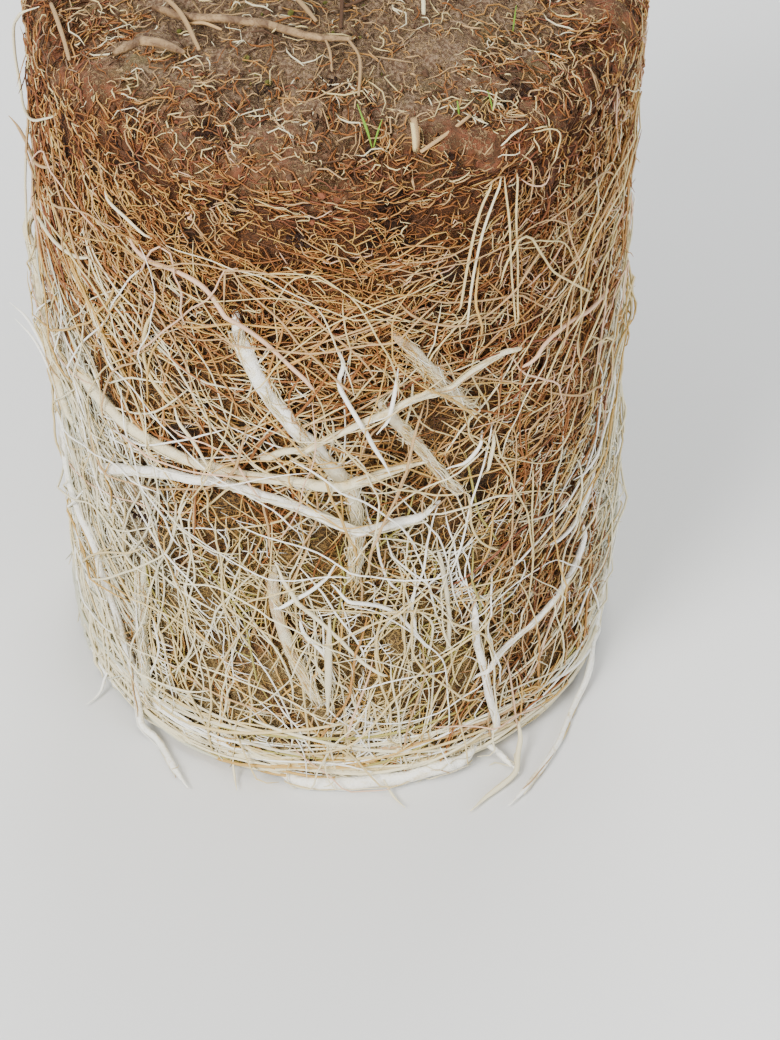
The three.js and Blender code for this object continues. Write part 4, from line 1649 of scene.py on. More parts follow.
    def strands(self, kind: StrandKind, rng: Generator) -> Tangle:
        """Draws the strands of one kind.

        Args:
            kind: The kind of strand.
            rng: The row of random numbers.

        Returns:
            The strands.
        """
        count = kind.count
        angle = np.radians(rng.uniform(*kind.spans, count))
        z = rng.uniform(kind.levels[0] * MM, kind.levels[1] * MM, count)
        if kind.lie is Lie.DRAWN:
            moved = self.woolly.holds(np.degrees(angle), z) & (rng.random(count) < self.thinned)
            angle = np.where(moved, rng.uniform(-math.pi, math.radians(30), count), angle)
        length = rng.uniform(*kind.length, count) * MM
        radius = rng.uniform(*kind.thick, count)[:, None] * MM / 2
        share = np.linspace(-0.5, 0.5, kind.rings)[None, :]
        waves = rng.uniform(*kind.curls, count)[:, None]
        phase = rng.uniform(0, TAU, count)[:, None]
        curl = kind.curl * rng.uniform(0.4, 1.3, count)[:, None]
        heading = self.headings(kind, angle, z, rng)[:, None]
        heading = heading + rng.normal(0, kind.bend, count)[:, None] * share
        heading = heading + curl * np.sin(TAU * waves * share + phase)
        heading = heading + 0.35 * curl * np.sin(TAU * 2.7 * waves * share + 3 * phase)
        across, upward = walk(heading, (length / (kind.rings - 1))[:, None])
        across -= across.mean(axis=1, keepdims=True)
        upward -= upward.mean(axis=1, keepdims=True)
        way = self.limits(z[:, None] + upward, radius)
        turn = angle[:, None] + across / self.ball.foot_radius
        low, high = kind.height[0] * MM, kind.height[1] * MM
        arch = rng.uniform(0.25, 1.0, count)[:, None]
        ripple = rng.uniform(0.8, 2.2, count)[:, None]
        if kind.lie is Lie.STRAY:
            lift = (share + 0.5) ** 1.7
        else:
            lift = np.cos(math.pi * share) ** 0.6 + 0.2 * np.sin(TAU * ripple * share + phase)
        # Strands that arch low take darker tones: painted shade of the strands over them.
        slots = self.tones(self.zones(angle, z, rng), arch[:, 0] < mix(0.25, 1.0, kind.deep), rng)
        thin = 1 - 0.75 * np.abs(2 * share) ** 5
        return Tangle(turn, way, heading, low + (high - low) * arch * lift + radius, radius * thin, slots)

    def laterals(self, parent: Tangle, kind: StrandKind, rng: Generator) -> Tangle:
        """Draws combs of short side roots that stand off the strands of a kind.

        Args:
            parent: The strands that they stand off.
            kind: The kind of those strands.
            rng: The row of random numbers.

        Returns:
            The side roots.
        """
        combs = len(parent.turn) // 3
        owners = np.repeat(rng.choice(len(parent.turn), combs, replace=False), kind.laterals)
        count = len(owners)
        step = np.tile(np.arange(kind.laterals), combs)
        start = np.repeat(rng.uniform(0.1, 0.5, combs), kind.laterals)
        spot = np.clip((start + self.side_gap * step) * (kind.rings - 1), 0, kind.rings - 1.001)
        low = spot.astype(int)
        part = spot - low

        def along(values: Array) -> Array:
            """The parent's value at the spot."""
            return values[owners, low] * (1 - part) + values[owners, low + 1] * part

        side = np.where(parent.heading[owners, low + 1] > parent.heading[owners, low], -1, 1)
        heading = along(parent.heading) + side * (math.pi / 2 + rng.normal(0, 0.18, count))
        length = np.repeat(rng.uniform(*self.side_length, combs), kind.laterals)
        length = length * rng.uniform(0.7, 1.2, count)
        share = np.linspace(0, 1, self.side_rings)[None, :]
        way_off = heading[:, None] + rng.normal(0, 0.5, count)[:, None] * share
        radius = rng.uniform(*self.side_radius, count)[:, None]
        across, upward = walk(way_off, (length / (self.side_rings - 1))[:, None])
        turn = along(parent.turn)[:, None] + (across - across[:, :1]) / self.ball.foot_radius
        way = self.limits(along(parent.way)[:, None] + upward - upward[:, :1], radius)
        out = along(parent.out)[:, None] * (1 - share) + share * radius
        out = out + self.side_arch * np.sin(math.pi * share)
        return Tangle(turn, way, way_off, out, radius * (1 - 0.5 * share**3), parent.slots[owners])

    def pieces(self, name: str, tangle: Tangle, sides: int, palette: Palette) -> list[Piece]:
        """Makes strands into joined pieces under the export's limit.

        Args:
            name: The start of the pieces' names.
            tangle: The strands.
            sides: Corners in a ring.
            palette: Plain materials.

        Returns:
            The pieces.
        """
        count, rings = tangle.turn.shape
        faces_each = 2 * sides * (rings - 1) + 2 * (sides - 2)
        paths = self.ball.skin(tangle.turn, tangle.way, tangle.out)
        made = []
        batches = max(1, math.ceil(count * faces_each / self.most))
        for number, chosen in enumerate(np.array_split(np.arange(count), batches)):
            outward = unit(paths[chosen] * LEVEL + 1e-5)
            made_tubes = tubes(paths[chosen], tangle.radius[chosen], sides, outward)
            parts = MeshParts().add_tubes(made_tubes, tangle.slots[chosen])
            made.append(parts.build(f"{name}_{number + 1}", palette.materials))
            total = len(chosen) * faces_each
            LOG.info("%s_%d: %d strands, %d triangles", name, number + 1, len(chosen), total)
        return made

    def build(self, palette: Palette) -> list[Piece]:
        """Makes every kind of strand and its side roots.

        Args:
            palette: Plain materials.

        Returns:
            The pieces.
        """
        rng = default_rng(self.seed)
        made = []
        for kind in MAT_KINDS:
            tangle = self.strands(kind, rng)
            sides = 4 if kind.lie in (Lie.DRAWN, Lie.CIRCLING) else 3
            made += self.pieces(f"mat_{kind.name}", tangle, sides, palette)
            if kind.laterals:
                made += self.pieces(f"mat_{kind.name}_laterals", self.laterals(tangle, kind, rng), 3, palette)
        return made


@dataclass(frozen=True)
class SoilStick:
    """A twig, straw or seedling on the soil: (x, y, height) points in millimetres."""

    thick: float
    tone: Tone
    route: Waypoints


SOIL_STICKS = (
    SoilStick(3.0, Tone.DRY, ((-91, -31, 4), (-82, -50, 7), (-72, -79, 3))),
    SoilStick(3.2, Tone.DRY, ((-26, -32, 3), (-17, -50, 5), (-9, -66, 3))),
    SoilStick(2.6, Tone.UMBER, ((5, -33, 3), (5, -52, 4), (4, -72, 3))),
    SoilStick(2.4, Tone.UMBER, ((5, -52, 3), (14, -46, 3), (24, -36, 3))),
    SoilStick(2.8, Tone.CREAM, ((49, -57, 1), (49, -52, 9), (48, -48, 20))),
    SoilStick(2.3, Tone.TAN, ((45, -157, 2), (58, -146, 3), (72, -133, 4))),
    SoilStick(4.6, Tone.DRY, ((43, -152, -2), (42.6, -150, 8), (41.5, -148, 17))),
    SoilStick(3.2, Tone.STRAW, ((42.2, -153, 0), (41.8, -151.4, 8), (40.8, -149.6, 16))),
    SoilStick(2.6, Tone.SPROUT, ((66, -130, -1), (65.6, -129, 3), (65, -128, 7))),
    SoilStick(1.5, Tone.SPROUT, ((84, -126, -1), (83, -125, 5), (81, -124, 12))),
    SoilStick(1.4, Tone.STRAW, ((84, -126, -1), (85, -125, 5), (86, -124, 11))),
    SoilStick(1.8, Tone.SPROUT, ((20, -150, -1), (17, -148, 10), (12, -146, 25))),
    SoilStick(1.6, Tone.SPROUT, ((20, -150, -1), (22, -149, 8), (25, -148, 17))),
    SoilStick(1.8, Tone.SPROUT, ((97, -62, -1), (98, -60, 8), (99, -58, 16))),
    SoilStick(2.0, Tone.DRY, ((8, -82, 3), (14, -98, 5), (13, -121, 3))),
    SoilStick(1.7, Tone.DRY, ((-5, -80, 3), (-2, -92, 4), (-1, -104, 2))),
    SoilStick(2.6, Tone.DRY, ((-154, -29, 2), (-149, -48, 4), (-142, -80, 3))),
    SoilStick(2.2, Tone.TAN, ((-78, -54, 3), (-70, -58, 5), (-60, -64, 3))),
    SoilStick(2.4, Tone.DRY, ((60, 70, 3), (40, 88, 4), (14, 96, 3))),
    SoilStick(3.0, Tone.TAN, ((-60, 60, 3), (-84, 72, 4), (-104, 66, 3))),
)


@dataclass(frozen=True)
class Clod:
    """Crumbs caught in the mat, with dark ones along the rim's front as painted shade: degrees round,
    millimetres up, their spread and size in millimetres.
    """

    degrees: float
    z: float
    spread: float
    size: float
    count: int
    tone: Tone


CLODS_AND_RIM_SHADE = (
    Clod(-43.5, 192, 4.5, 2.3, 26, Tone.DARK),
    Clod(-42.0, 172, 4.0, 1.9, 18, Tone.DARK),
    Clod(-7.0, 430, 3.6, 2.3, 22, Tone.DARK),
    Clod(-10.0, 222, 3.0, 1.5, 12, Tone.EARTH),
    Clod(-27.5, 432, 2.2, 1.9, 7, Tone.PINK),
    Clod(-52.0, 268, 3.0, 1.5, 10, Tone.EARTH),
    Clod(36.0, 372, 5.0, 1.6, 14, Tone.DARK),
    Clod(14.0, 96, 3.0, 1.5, 10, Tone.EARTH),
    Clod(118.0, 246, 4.0, 2.2, 20, Tone.DARK),
    Clod(-140.0, 330, 4.0, 2.0, 18, Tone.DARK),
    Clod(178.0, 182, 3.5, 1.8, 14, Tone.EARTH),
    # Painted shade: these dark crumbs along the front of the rim stand for the shade under the soil's edge.
    Clod(7.0, 499, 2.5, 1.9, 16, Tone.DARK),
    Clod(21.5, 481, 3.5, 1.7, 18, Tone.DARK),
    Clod(41.0, 503, 3.5, 2.0, 16, Tone.DARK),
    Clod(-26.0, 497, 4.5, 1.8, 20, Tone.DARK),
    Clod(-1.5, 546, 3.5, 2.0, 12, Tone.DARK),
    Clod(-12.0, 486, 4.0, 1.5, 16, Tone.EARTH),
)


SOIL_TONES = (
    Tone.DUST, Tone.UMBER, Tone.MOSS, Tone.CLAY, Tone.EARTH, Tone.TAN, Tone.STRAW,
    Tone.RUST, Tone.OCHRE, Tone.DRY, Tone.CREAM, Tone.SPROUT, Tone.DARK, Tone.PINK,
)
INNER_CRUMBS = (Tone.DUST, Tone.UMBER, Tone.MOSS, Tone.UMBER)
OUTER_CRUMBS = (Tone.CLAY, Tone.EARTH, Tone.UMBER)
DRY_TONES = (
    Tone.TAN, Tone.STRAW, Tone.RUST, Tone.OCHRE, Tone.DUST, Tone.UMBER, Tone.TAN, Tone.DRY, Tone.CREAM,
)


@dataclass
class TopSoil:
    """What lies on the soil: crumbs, dry roots, sticks and a few seedlings."""

    ball: Ball
    seed: int = 17
    crumbs: int = 2500
    crumb_sizes: Span = (0.0005, 0.0042)
    crumbs_down: float = 0.055
    crumbs_reach: float = 0.19
    round_foot: float = 0.2
    larger: float = 1.5
    dry_roots: int = 2100
    dry_rings: int = 5
    dry_lengths: Span = (0.005, 0.04)
    dry_radius: Span = (0.00028, 0.00062)
    dry_arch: float = 0.0026
    dry_inner: float = 0.045
    dry_edge: float = 0.010

    def lumps(self, spots: Array, sizes: Array, rng: Generator) -> tuple[Array, Array]:
        """Makes rough lumps.

        Args:
            spots: Their places.
            sizes: Their sizes.
            rng: The row of random numbers.

        Returns:
            Their points and faces.
        """
        golden = (1 + math.sqrt(5)) / 2
        first = np.array([(0, s, t * golden) for s in (-1, 1) for t in (-1, 1)])
        shape = unit(np.concatenate([np.roll(first, -turn, axis=1) for turn in range(3)]))
        count = len(spots)
        rough = shape[None] * rng.uniform(0.5, 1.2, (count, 12, 1))
        rough = rough * rng.uniform(0.55, 1.1, (count, 1, 3)) * sizes[:, None, None]
        faces = self.hull_faces(shape)[None] + np.arange(count)[:, None, None] * 12
        return rough + spots[:, None, :], faces.reshape(-1, 3)

    def build_crumbs(self, palette: Palette) -> Piece:
        """Makes the crumbs, down over the rim and a few in the mat, with dark ones along the rim's front as
        painted shade.

        Args:
            palette: Plain materials.

        Returns:
            The joined piece.
        """
        rng = default_rng(self.seed)
        count = self.crumbs
        start = self.ball.rim_start + self.ball.rim_arc - self.crumbs_down
        inward = start + self.crumbs_reach * rng.random(count) ** 1.25
        angle = rng.uniform(0, TAU, count)
        sizes = rng.gamma(2.0, 0.00055, count).clip(*self.crumb_sizes)
        spots = self.ball.skin(angle, inward, sizes * 0.05)
        close = rng.random(count) < self.round_foot
        sizes = np.where(close, self.larger * sizes, sizes)
        foot_x, foot_y, foot_radius, _ = self.ball.foot_disc
        reach = foot_radius * (0.74 + 0.6 * rng.random(count) ** 1.6)
        x, y = foot_x + reach * np.cos(angle), foot_y + reach * np.sin(angle)
        ring = np.stack([x, y, self.ball.soil_surface(x, y)], axis=-1)
        spots = np.where(close[:, None], ring, spots)
        far = np.hypot(spots[:, 0], spots[:, 1]) / self.ball.top_radius + rng.normal(0, 0.12, count)
        inner = rng.choice(palette.indices(INNER_CRUMBS), count)
        outer = rng.choice(palette.indices(OUTER_CRUMBS), count)
        parts = MeshParts()
        points, faces = self.lumps(spots, sizes, rng)
        parts.add(points, [faces], [np.repeat(np.where(far > 0.8, outer, inner), 20)])
        for clod in CLODS_AND_RIM_SHADE:
            turned = rng.normal(0, clod.spread * MM / self.ball.foot_radius, clod.count)
            angle = np.radians(clod.degrees) + turned
            way = (clod.z + rng.normal(0, clod.spread, clod.count)) * MM
            sizes = rng.uniform(0.35, 1.0, clod.count) * clod.size * MM
            points, faces = self.lumps(self.ball.skin(angle, way, 0.0012 + 0.4 * sizes), sizes, rng)
            parts.add(points, [faces], palette.index(clod.tone))
        return parts.build("soil_crumbs", palette.materials, smooth=False)

    @staticmethod
    def hull_faces(shape: Array) -> Array:
        """Finds the outward triangles of an icosahedron.

        Args:
            shape: Its corners.

        Returns:
            One triangle to a row.
        """
        edge = min(np.linalg.norm(shape[0] - other) for other in shape[1:])
        faces = []
        for a in range(12):
            for b in range(a + 1, 12):
                for c in range(b + 1, 12):
                    sides = [np.linalg.norm(shape[i] - shape[j]) for i, j in ((a, b), (b, c), (c, a))]
                    if max(sides) > edge * 1.05:
                        continue
                    facing = np.dot(np.cross(shape[b] - shape[a], shape[c] - shape[a]), shape[a])
                    faces.append((a, b, c) if facing > 0 else (a, c, b))
        return np.array(faces)

    def build_dry_roots(self, palette: Palette) -> Piece:
        """Makes the thin dry roots and straws that lie on the soil.

        Args:
            palette: Plain materials.

        Returns:
            The joined piece.
        """
        rng = default_rng(self.seed + 1)
        count = self.dry_roots
        outer = self.ball.top_radius - self.dry_edge
        reach = np.sqrt(rng.uniform(self.dry_inner**2, outer**2, count))
        turned = rng.uniform(0, TAU, count)
        share = np.linspace(-0.5, 0.5, self.dry_rings)[None, :]
        heading = rng.uniform(0, TAU, count)[:, None] + rng.normal(0, 1.1, count)[:, None] * share
        heading = heading + 0.7 * np.sin(TAU * rng.uniform(0.5, 1.6, count)[:, None] * share)
        length = rng.gamma(2.2, 0.0062, count).clip(*self.dry_lengths)
        x, y = walk(heading, (length / (self.dry_rings - 1))[:, None])
        x, y = x + (reach * np.cos(turned))[:, None], y + (reach * np.sin(turned))[:, None]
        radius = rng.uniform(*self.dry_radius, count)[:, None]
        edge = self.ball.top_radius - self.ball.rim_in
        past = (np.hypot(x, y) - edge) / self.ball.rim_in
        inside = np.minimum(1, (edge + 0.97 * self.ball.rim_in) / np.hypot(x, y))
        x, y = x * inside, y * inside
        fall = self.ball.rim_depth * (1 - np.sqrt(1 - np.clip(past, 0, 0.97) ** 2))
        arch = self.dry_arch * rng.random(count)[:, None] * np.cos(math.pi * share)
        z = self.ball.soil_surface(x, y) - fall + radius + 0.0008 + arch
        paths = np.stack([x, y, z], axis=-1)
        radii = radius * (1 - 0.7 * np.abs(2 * share) ** 4)
        made = tubes(paths, radii, 3, np.broadcast_to(UP, paths.shape))
        slots = rng.choice(palette.indices(DRY_TONES), count)
        return MeshParts().add_tubes(made, slots).build("soil_dry_roots", palette.materials)

    def build_sticks(self, palette: Palette, roots: MainRoots) -> Piece:
        """Makes the twigs, straws and seedlings that the photograph shows on the soil.

        Args:
            palette: Plain materials.
            roots: Gives the knobbly skin.

        Returns:
            The joined piece.
        """
        parts = MeshParts()
        for stick in SOIL_STICKS:
            route = np.array(stick.route, dtype=float) * MM
            route[:, 2] += self.ball.soil_surface(route[:, 0], route[:, 1])
            blunt = 0.2 if stick.tone is Tone.SPROUT else 0.85
            points, faces = roots.skin(Route(route), stick.thick * MM / 2, 6, 0.003, blunt=blunt)
            parts.add(points, faces, palette.index(stick.tone))
        return parts.build("soil_sticks", palette.materials)


@dataclass(frozen=True)
class Litter:
    """A dry stem on the soil, which stands for a solid: (x, y) points in millimetres."""

    node: str
    thick: float
    route: Waypoints


LITTER = (
    Litter("dry_stem_on_soil", 6, ((-98, -36), (-80, -48), (-58, -56), (-36, -66), (-14, -80), (10, -82))),
    Litter("dry_stub_on_soil", 7, ((-118, -80), (-104, -70), (-92, -72), (-80, -82))),
)


def build_litter(ball: Ball, roots: MainRoots, bark: Material) -> Dressing:
    """Makes the dry stems on the soil.

    Args:
        ball: The ball that they lie on.
        roots: Gives the knobbly skin.
        bark: Their finish.

    Returns:
        (piece, nodes that it replaces) pairs.
    """
    made = []
    for stem in LITTER:
        radius = stem.thick * MM / 2
        spots = np.array(stem.route) * MM
        z = ball.soil_surface(spots[:, 0], spots[:, 1]) + radius + 0.00035
        line = Route(np.concatenate([spots, z[:, None]], axis=1))
        parts = MeshParts().add(*roots.skin(line, radius * 0.85, 12, 0.002, blunt=0.5))
        made.append((parts.build(stem.node + "_skin", [bark]), [stem.node]))
    return made


@dataclass
class Trunk:
    """The trunk: a slim stem with a slight sway, a root flare and ridged young bark."""

    ball: Ball
    route: Waypoints = (
        (2, 6, 0), (3, 6, 60), (14, 2, 220), (2, 0, 470), (-12, 10, 760), (2, 16, 1010), (-4, 8, 1210),
    )
    seat: float = 0.0003
    foot_radius: float = 0.0155
    tip_radius: float = 0.0046
    flare: float = 0.0085
    flare_reach: float = 0.026
    lobes: int = 5
    lobe_depth: float = 0.16
    sides: int = 36
    ring: float = 0.0036
    relief: float = 0.0011

    def __post_init__(self) -> None:
        """Works out the middle line."""
        rise = np.array([0, 0, self.ball.foot_disc[3] + self.seat])
        self.line = Route(np.array(self.route) * MM + rise)

    def radius(self, share: Array, angle: Array = 0.0) -> Array:
        """Finds the plain radius.

        Args:
            share: The share of the length.
            angle: The angle round the trunk.

        Returns:
            The radius.
        """
        flare = np.exp(-share * self.line.length / self.flare_reach)
        lobes = 1 + self.lobe_depth * flare * np.cos(self.lobes * angle)
        return (mix(self.foot_radius, self.tip_radius, share) + self.flare * flare) * lobes

    def build(self, bark: Material) -> Piece:
        """Makes the trunk with the relief of its bark.

        Args:
            bark: Its finish.

        Returns:
            The piece.
        """
        return build_limb(
            "trunk_bark", self.line, self.radius, self.sides, self.ring, bark, self.relief, level_foot=True
        )


BARK_SEED = 37
SCAR_GAP = 0.058


def build_limb(
    name: str,
    line: Route,
    radius_at: Callable[[Array, Array], Array],
    sides: int,
    ring: float,
    bark: Material,
    relief: float,
    level_foot: bool = False,
) -> Piece:
    """Makes a limb with ridges, lenticels and old leaf scars in its surface.

    Args:
        name: The piece's name.
        line: Its middle line.
        radius_at: The plain radius from a share of the length and an angle.
        sides: Corners in a ring.
        ring: The spacing of the rings.
        bark: Its finish.
        relief: The depth of the bark's relief.
        level_foot: Whether its lower end is cut level.

    Returns:
        The object.
    """
    noise = Noise(BARK_SEED)
    count = max(10, round(line.length / ring))
    shares = np.linspace(0, 1, count)[:, None]
    path = line.at(shares[:, 0])
    around = (TAU * np.arange(sides) / sides)[None, :]
    ahead = unit(np.gradient(path, axis=0))
    side = unit(np.cross(ahead, np.array([0.0, 1.0, 0.0])))
    front = np.cross(side, ahead)
    across = np.cos(around)[..., None] * side[:, None] + np.sin(around)[..., None] * front[:, None]
    plain = radius_at(shares, around)
    skin = path[:, None, :] + plain[..., None] * across
    ridges = noise.at(skin * np.array([1.0, 1.0, 0.2]), 260.0)
    lumps = noise.at(skin, 55.0) * 0.9
    pits = -np.maximum(noise.at(skin * np.array([0.6, 0.6, 1.4]), 210.0) - 0.55, 0) * 2.0
    scars = (shares * line.length / SCAR_GAP + 0.13 * np.sin(around)) % 1
    scars = np.maximum(0, 1 - np.abs(scars - 0.5) * 26)
    depth = relief * np.minimum(1.0, plain / 0.008)
    grown = plain + depth * (0.5 * ridges + lumps + pits + 0.7 * scars * np.cos(around - shares * 40) ** 2)
    points = path[:, None, :] + grown[..., None] * across
    if level_foot:
        points[0, :, 2] = path[0, 2]
    here = np.arange(sides)[None]
    faces = [ring_faces(count, sides), here[:, ::-1], here + (count - 1) * sides]
    return MeshParts().add(points, faces).build(name, [bark])


@dataclass
class Boughs:
    """The seven boughs, turned round the trunk as its buds were."""

    trunk: Trunk
    count: int = 7
    first: float = 0.430
    spacing: float = 0.100
    first_turn: float = 38.0
    turn: float = 137.5
    length: float = 0.250
    shorter: float = 0.017
    rise: float = 24.0
    steeper: float = 5.0
    lift: float = 20.0
    base_radius: float = 0.0066
    thinner: float = 0.00045
    tip_share: float = 0.6
    parts: int = 4
    sides: int = 20
    ring: float = 0.003
    relief: float = 0.0006

    def __post_init__(self) -> None:
        """Works out the middle lines."""
        self.lines = [self.line(index) for index in range(self.count)]

    def line(self, index: int) -> Route:
        """Finds the middle line of one bough, from the trunk's own middle.

        Args:
            index: Which bough, from 0.

        Returns:
            The line.
        """
        share = (self.first + self.spacing * index) / self.trunk.line.length
        points = [self.trunk.line.at([share])[0]]
        turned = math.radians(self.first_turn + self.turn * index)
        outward = np.array([math.sin(turned), -math.cos(turned), 0.0])
        pace = (self.length - self.shorter * index) / self.parts
        for k in range(self.parts):
            slope = math.radians(self.rise + self.steeper * index + self.lift * k / (self.parts - 1))
            points.append(points[-1] + (outward * math.cos(slope) + UP * math.sin(slope)) * pace)
        return Route(np.array(points))

    def radius(self, index: int, share: Array) -> Array:
        """The plain radius of one bough."""
        base = self.base_radius - self.thinner * index
        return base * mix(1, self.tip_share, share) * (1 + 0.35 * np.exp(-share * 9))

    def build(self, bark: Material) -> Dressing:
        """Makes each bough, starting just inside the trunk's bark.

        Args:
            bark: Their finish.

        Returns:
            (piece, nodes that it replaces) pairs.
        """
        made = []
        for index, line in enumerate(self.lines):
            share = (self.first + self.spacing * index) / self.trunk.line.length
            inside = float(self.trunk.radius(np.array(share))) * 0.7 / line.length
            shown = Route(line.at(np.linspace(inside, 1, 14)))

            def radius_at(shares: Array, around: Array, bough: int = index, skip: float = inside) -> Array:
                """The plain radius, counted from the trunk's middle."""
                return self.radius(bough, skip + (1 - skip) * shares) + 0 * around

            name = f"bough_{index + 1}"
            piece = build_limb(name + "_bark", shown, radius_at, self.sides, self.ring, bark, self.relief)
            made.append((piece, [name]))
        return made


Stalks = list[tuple[Array, float]]
Shoots = list[tuple[Route, float]]
LEAF_TONES = (Tone.LEAF_DEEP, Tone.LEAF_MID, Tone.LEAF_FRESH, Tone.LEAF_YOUNG, Tone.LEAF_DULL)
LEAF_SHARES = (0.2, 0.36, 0.24, 0.08, 0.12)


@dataclass
class Foliage:
    """Masses of twigs and leaves, grown from the boughs by the solids' rule and carried to finer twigs."""

    trunk: Trunk
    boughs: Boughs
    seed: int = 4021
    tone_seed: int = 100
    stem_length: float = 0.300
    stem_shorter: float = 0.013
    leader_length: float = 0.290
    stem_gap: float = 0.0005
    stem_radius: float = 0.0032
    twig_radius: float = 0.0019
    spray_radius: float = 0.0011
    tip_share: float = 0.55
    twigs: int = 7
    twig_first: float = 0.06
    twig_length: float = 0.205
    twig_taper: float = 0.5
    spread: float = 50.0
    curl: float = 0.2
    jitter: float = 0.16
    steps: int = 3
    margin: float = 0.003
    sprays: int = 8
    spray_length: float = 0.085
    spray_splay: float = 48.0
    leaf_length: float = 0.075
    leaf_width: float = 0.033
    leaf_splay: float = 52.0
    stem_leaves: int = 5
    twig_leaves: int = 8
    spray_leaves: int = 5
    stalk_length: float = 0.009
    stalk_radius: float = 0.0007
    twig_spare: float = 0.006
    leaf_spare: float = 0.004
    crown: tuple[float, ...] = (0.0, 0.006, 1.480, 0.490, 0.690)

    def __post_init__(self) -> None:
        """Works out where each mass starts and the space that it keeps to."""
        self.stems: list[tuple[str, Array, Array, float]] = []
        for index, line in enumerate(self.boughs.lines):
            length = self.stem_length - self.stem_shorter * index
            self.stems.append((f"foliage_{index + 1}", line.at([1])[0], line.heading(1), length))
        top = self.trunk.line
        self.stems.append(("foliage_top", top.at([1])[0], top.heading(1), self.leader_length))
        self.middles = np.array([start + 0.62 * length * along for _, start, along, length in self.stems])
        trunk_shares = np.linspace(0, 1, 90)
        points = [top.at(trunk_shares)]
        radii = [self.trunk.radius(trunk_shares)]
        for index, line in enumerate(self.boughs.lines):
            shares = np.linspace(0, 1, 24)
            points.append(line.at(shares))
            radii.append(self.boughs.radius(index, shares))
        self.limb_points = np.concatenate(points)
        self.limb_radii = np.concatenate(radii)

    def fits(self, probes: Array, mass: int, spare: float) -> bool:
        """Tells whether points keep to a mass's space and box and clear of the limbs.

        Args:
            probes: The points.
            mass: Which mass, from 0.
            spare: The clearance from the limbs.

        Returns:
            True or False.
        """
        low, high = self.boxes[mass]
        if (probes < low).any() or (probes > high).any():
            return False
        x, y, z, across, tall = self.crown
        reach = np.linalg.norm((probes - [x, y, z]) / [across, across, tall], axis=1)
        if reach.max() > 1:
            return False
        own = self.middles[mass]
        for index, other in enumerate(self.middles):
            if index == mass:
                continue
            apart = np.linalg.norm(own - other)
            past = ((probes - other) ** 2).sum(1) - ((probes - own) ** 2).sum(1)
            if (past / (2 * apart)).min() < self.margin:
                return False
        gaps = np.linalg.norm(probes[:, None] - self.limb_points[None], axis=-1) - self.limb_radii[None]
        return bool(gaps.min() > spare)

    def shoot(self, start: Array, along: Array, length: float, draw: Draws) -> Route:
        """Draws a shoot's own line: it curls up, with a seeded waver.

        Args:
            start: Where it starts.
            along: Its first direction.
            length: Its length.
            draw: The seeded row.

        Returns:
            The line.
        """
        points = [start]
        heading = along.copy()
        for _ in range(self.steps):
            heading = heading + UP * self.curl / self.steps
            heading = heading + self.jitter * (np.array([draw.next(), draw.next(), draw.next()]) - 0.5)
            heading = unit(heading)
            points.append(points[-1] + heading * length / self.steps)
        return Route(np.array(points))

    @staticmethod
    def sideways(heading: Array, turned: float, splay: float) -> Array:
        """Finds a direction at an angle from a heading.

        Args:
            heading: The heading.
            turned: Degrees round it.
            splay: Degrees away from it.

        Returns:
            The direction.
        """
        across = unit(np.cross(heading, UP))
        angle = math.radians(turned)
        across = across * math.cos(angle) + np.cross(heading, across) * math.sin(angle)
        return heading * math.cos(math.radians(splay)) + across * math.sin(math.radians(splay))

    def leaf_points(self, base: Array, along: Array, flat: Array, length: float, fold: float) -> Array:
        """Shapes one leaf: a midrib that droops, and two edges folded up from it.

        Args:
            base: Where the blade starts.
            along: Its direction.
            flat: Across the blade.
            length: Its length.
            fold: The angle of the fold.

        Returns:
            Its corners, midrib first.
        """
        top = np.cross(flat, along)
        stations = np.linspace(0, 1, 7)
        width = self.leaf_width * length / self.leaf_length / 2
        half = width * np.sin(math.pi * stations**0.86) ** 0.85
        sag = -0.16 * length * stations**2
        middle = base + along * (stations * length)[:, None] + top * sag[:, None]
        reach, rise = math.cos(fold), math.sin(fold)
        ripple = 0.06 * half * np.sin(stations * 17)
        left = middle - flat * (half * reach)[:, None] + top * (half * rise + ripple)[:, None]
        right = middle + flat * (half * reach)[:, None] + top * (half * rise - ripple)[:, None]
        return np.concatenate([middle, left[1:-1], right[1:-1]])

    @staticmethod
    def leaf_faces() -> tuple[Array, Array]:
        """Lists the faces of one leaf.

        Returns:
            The four-cornered faces and the three-cornered ones.
        """
        quads = []
        for k in range(1, 5):
            quads.append((k, k + 1, 6 + k + 1, 6 + k))
            quads.append((k, 11 + k, 11 + k + 1, k + 1))
        tris = [(0, 1, 7), (0, 12, 1), (5, 6, 11), (5, 16, 6)]
        return np.array(quads), np.array(tris)

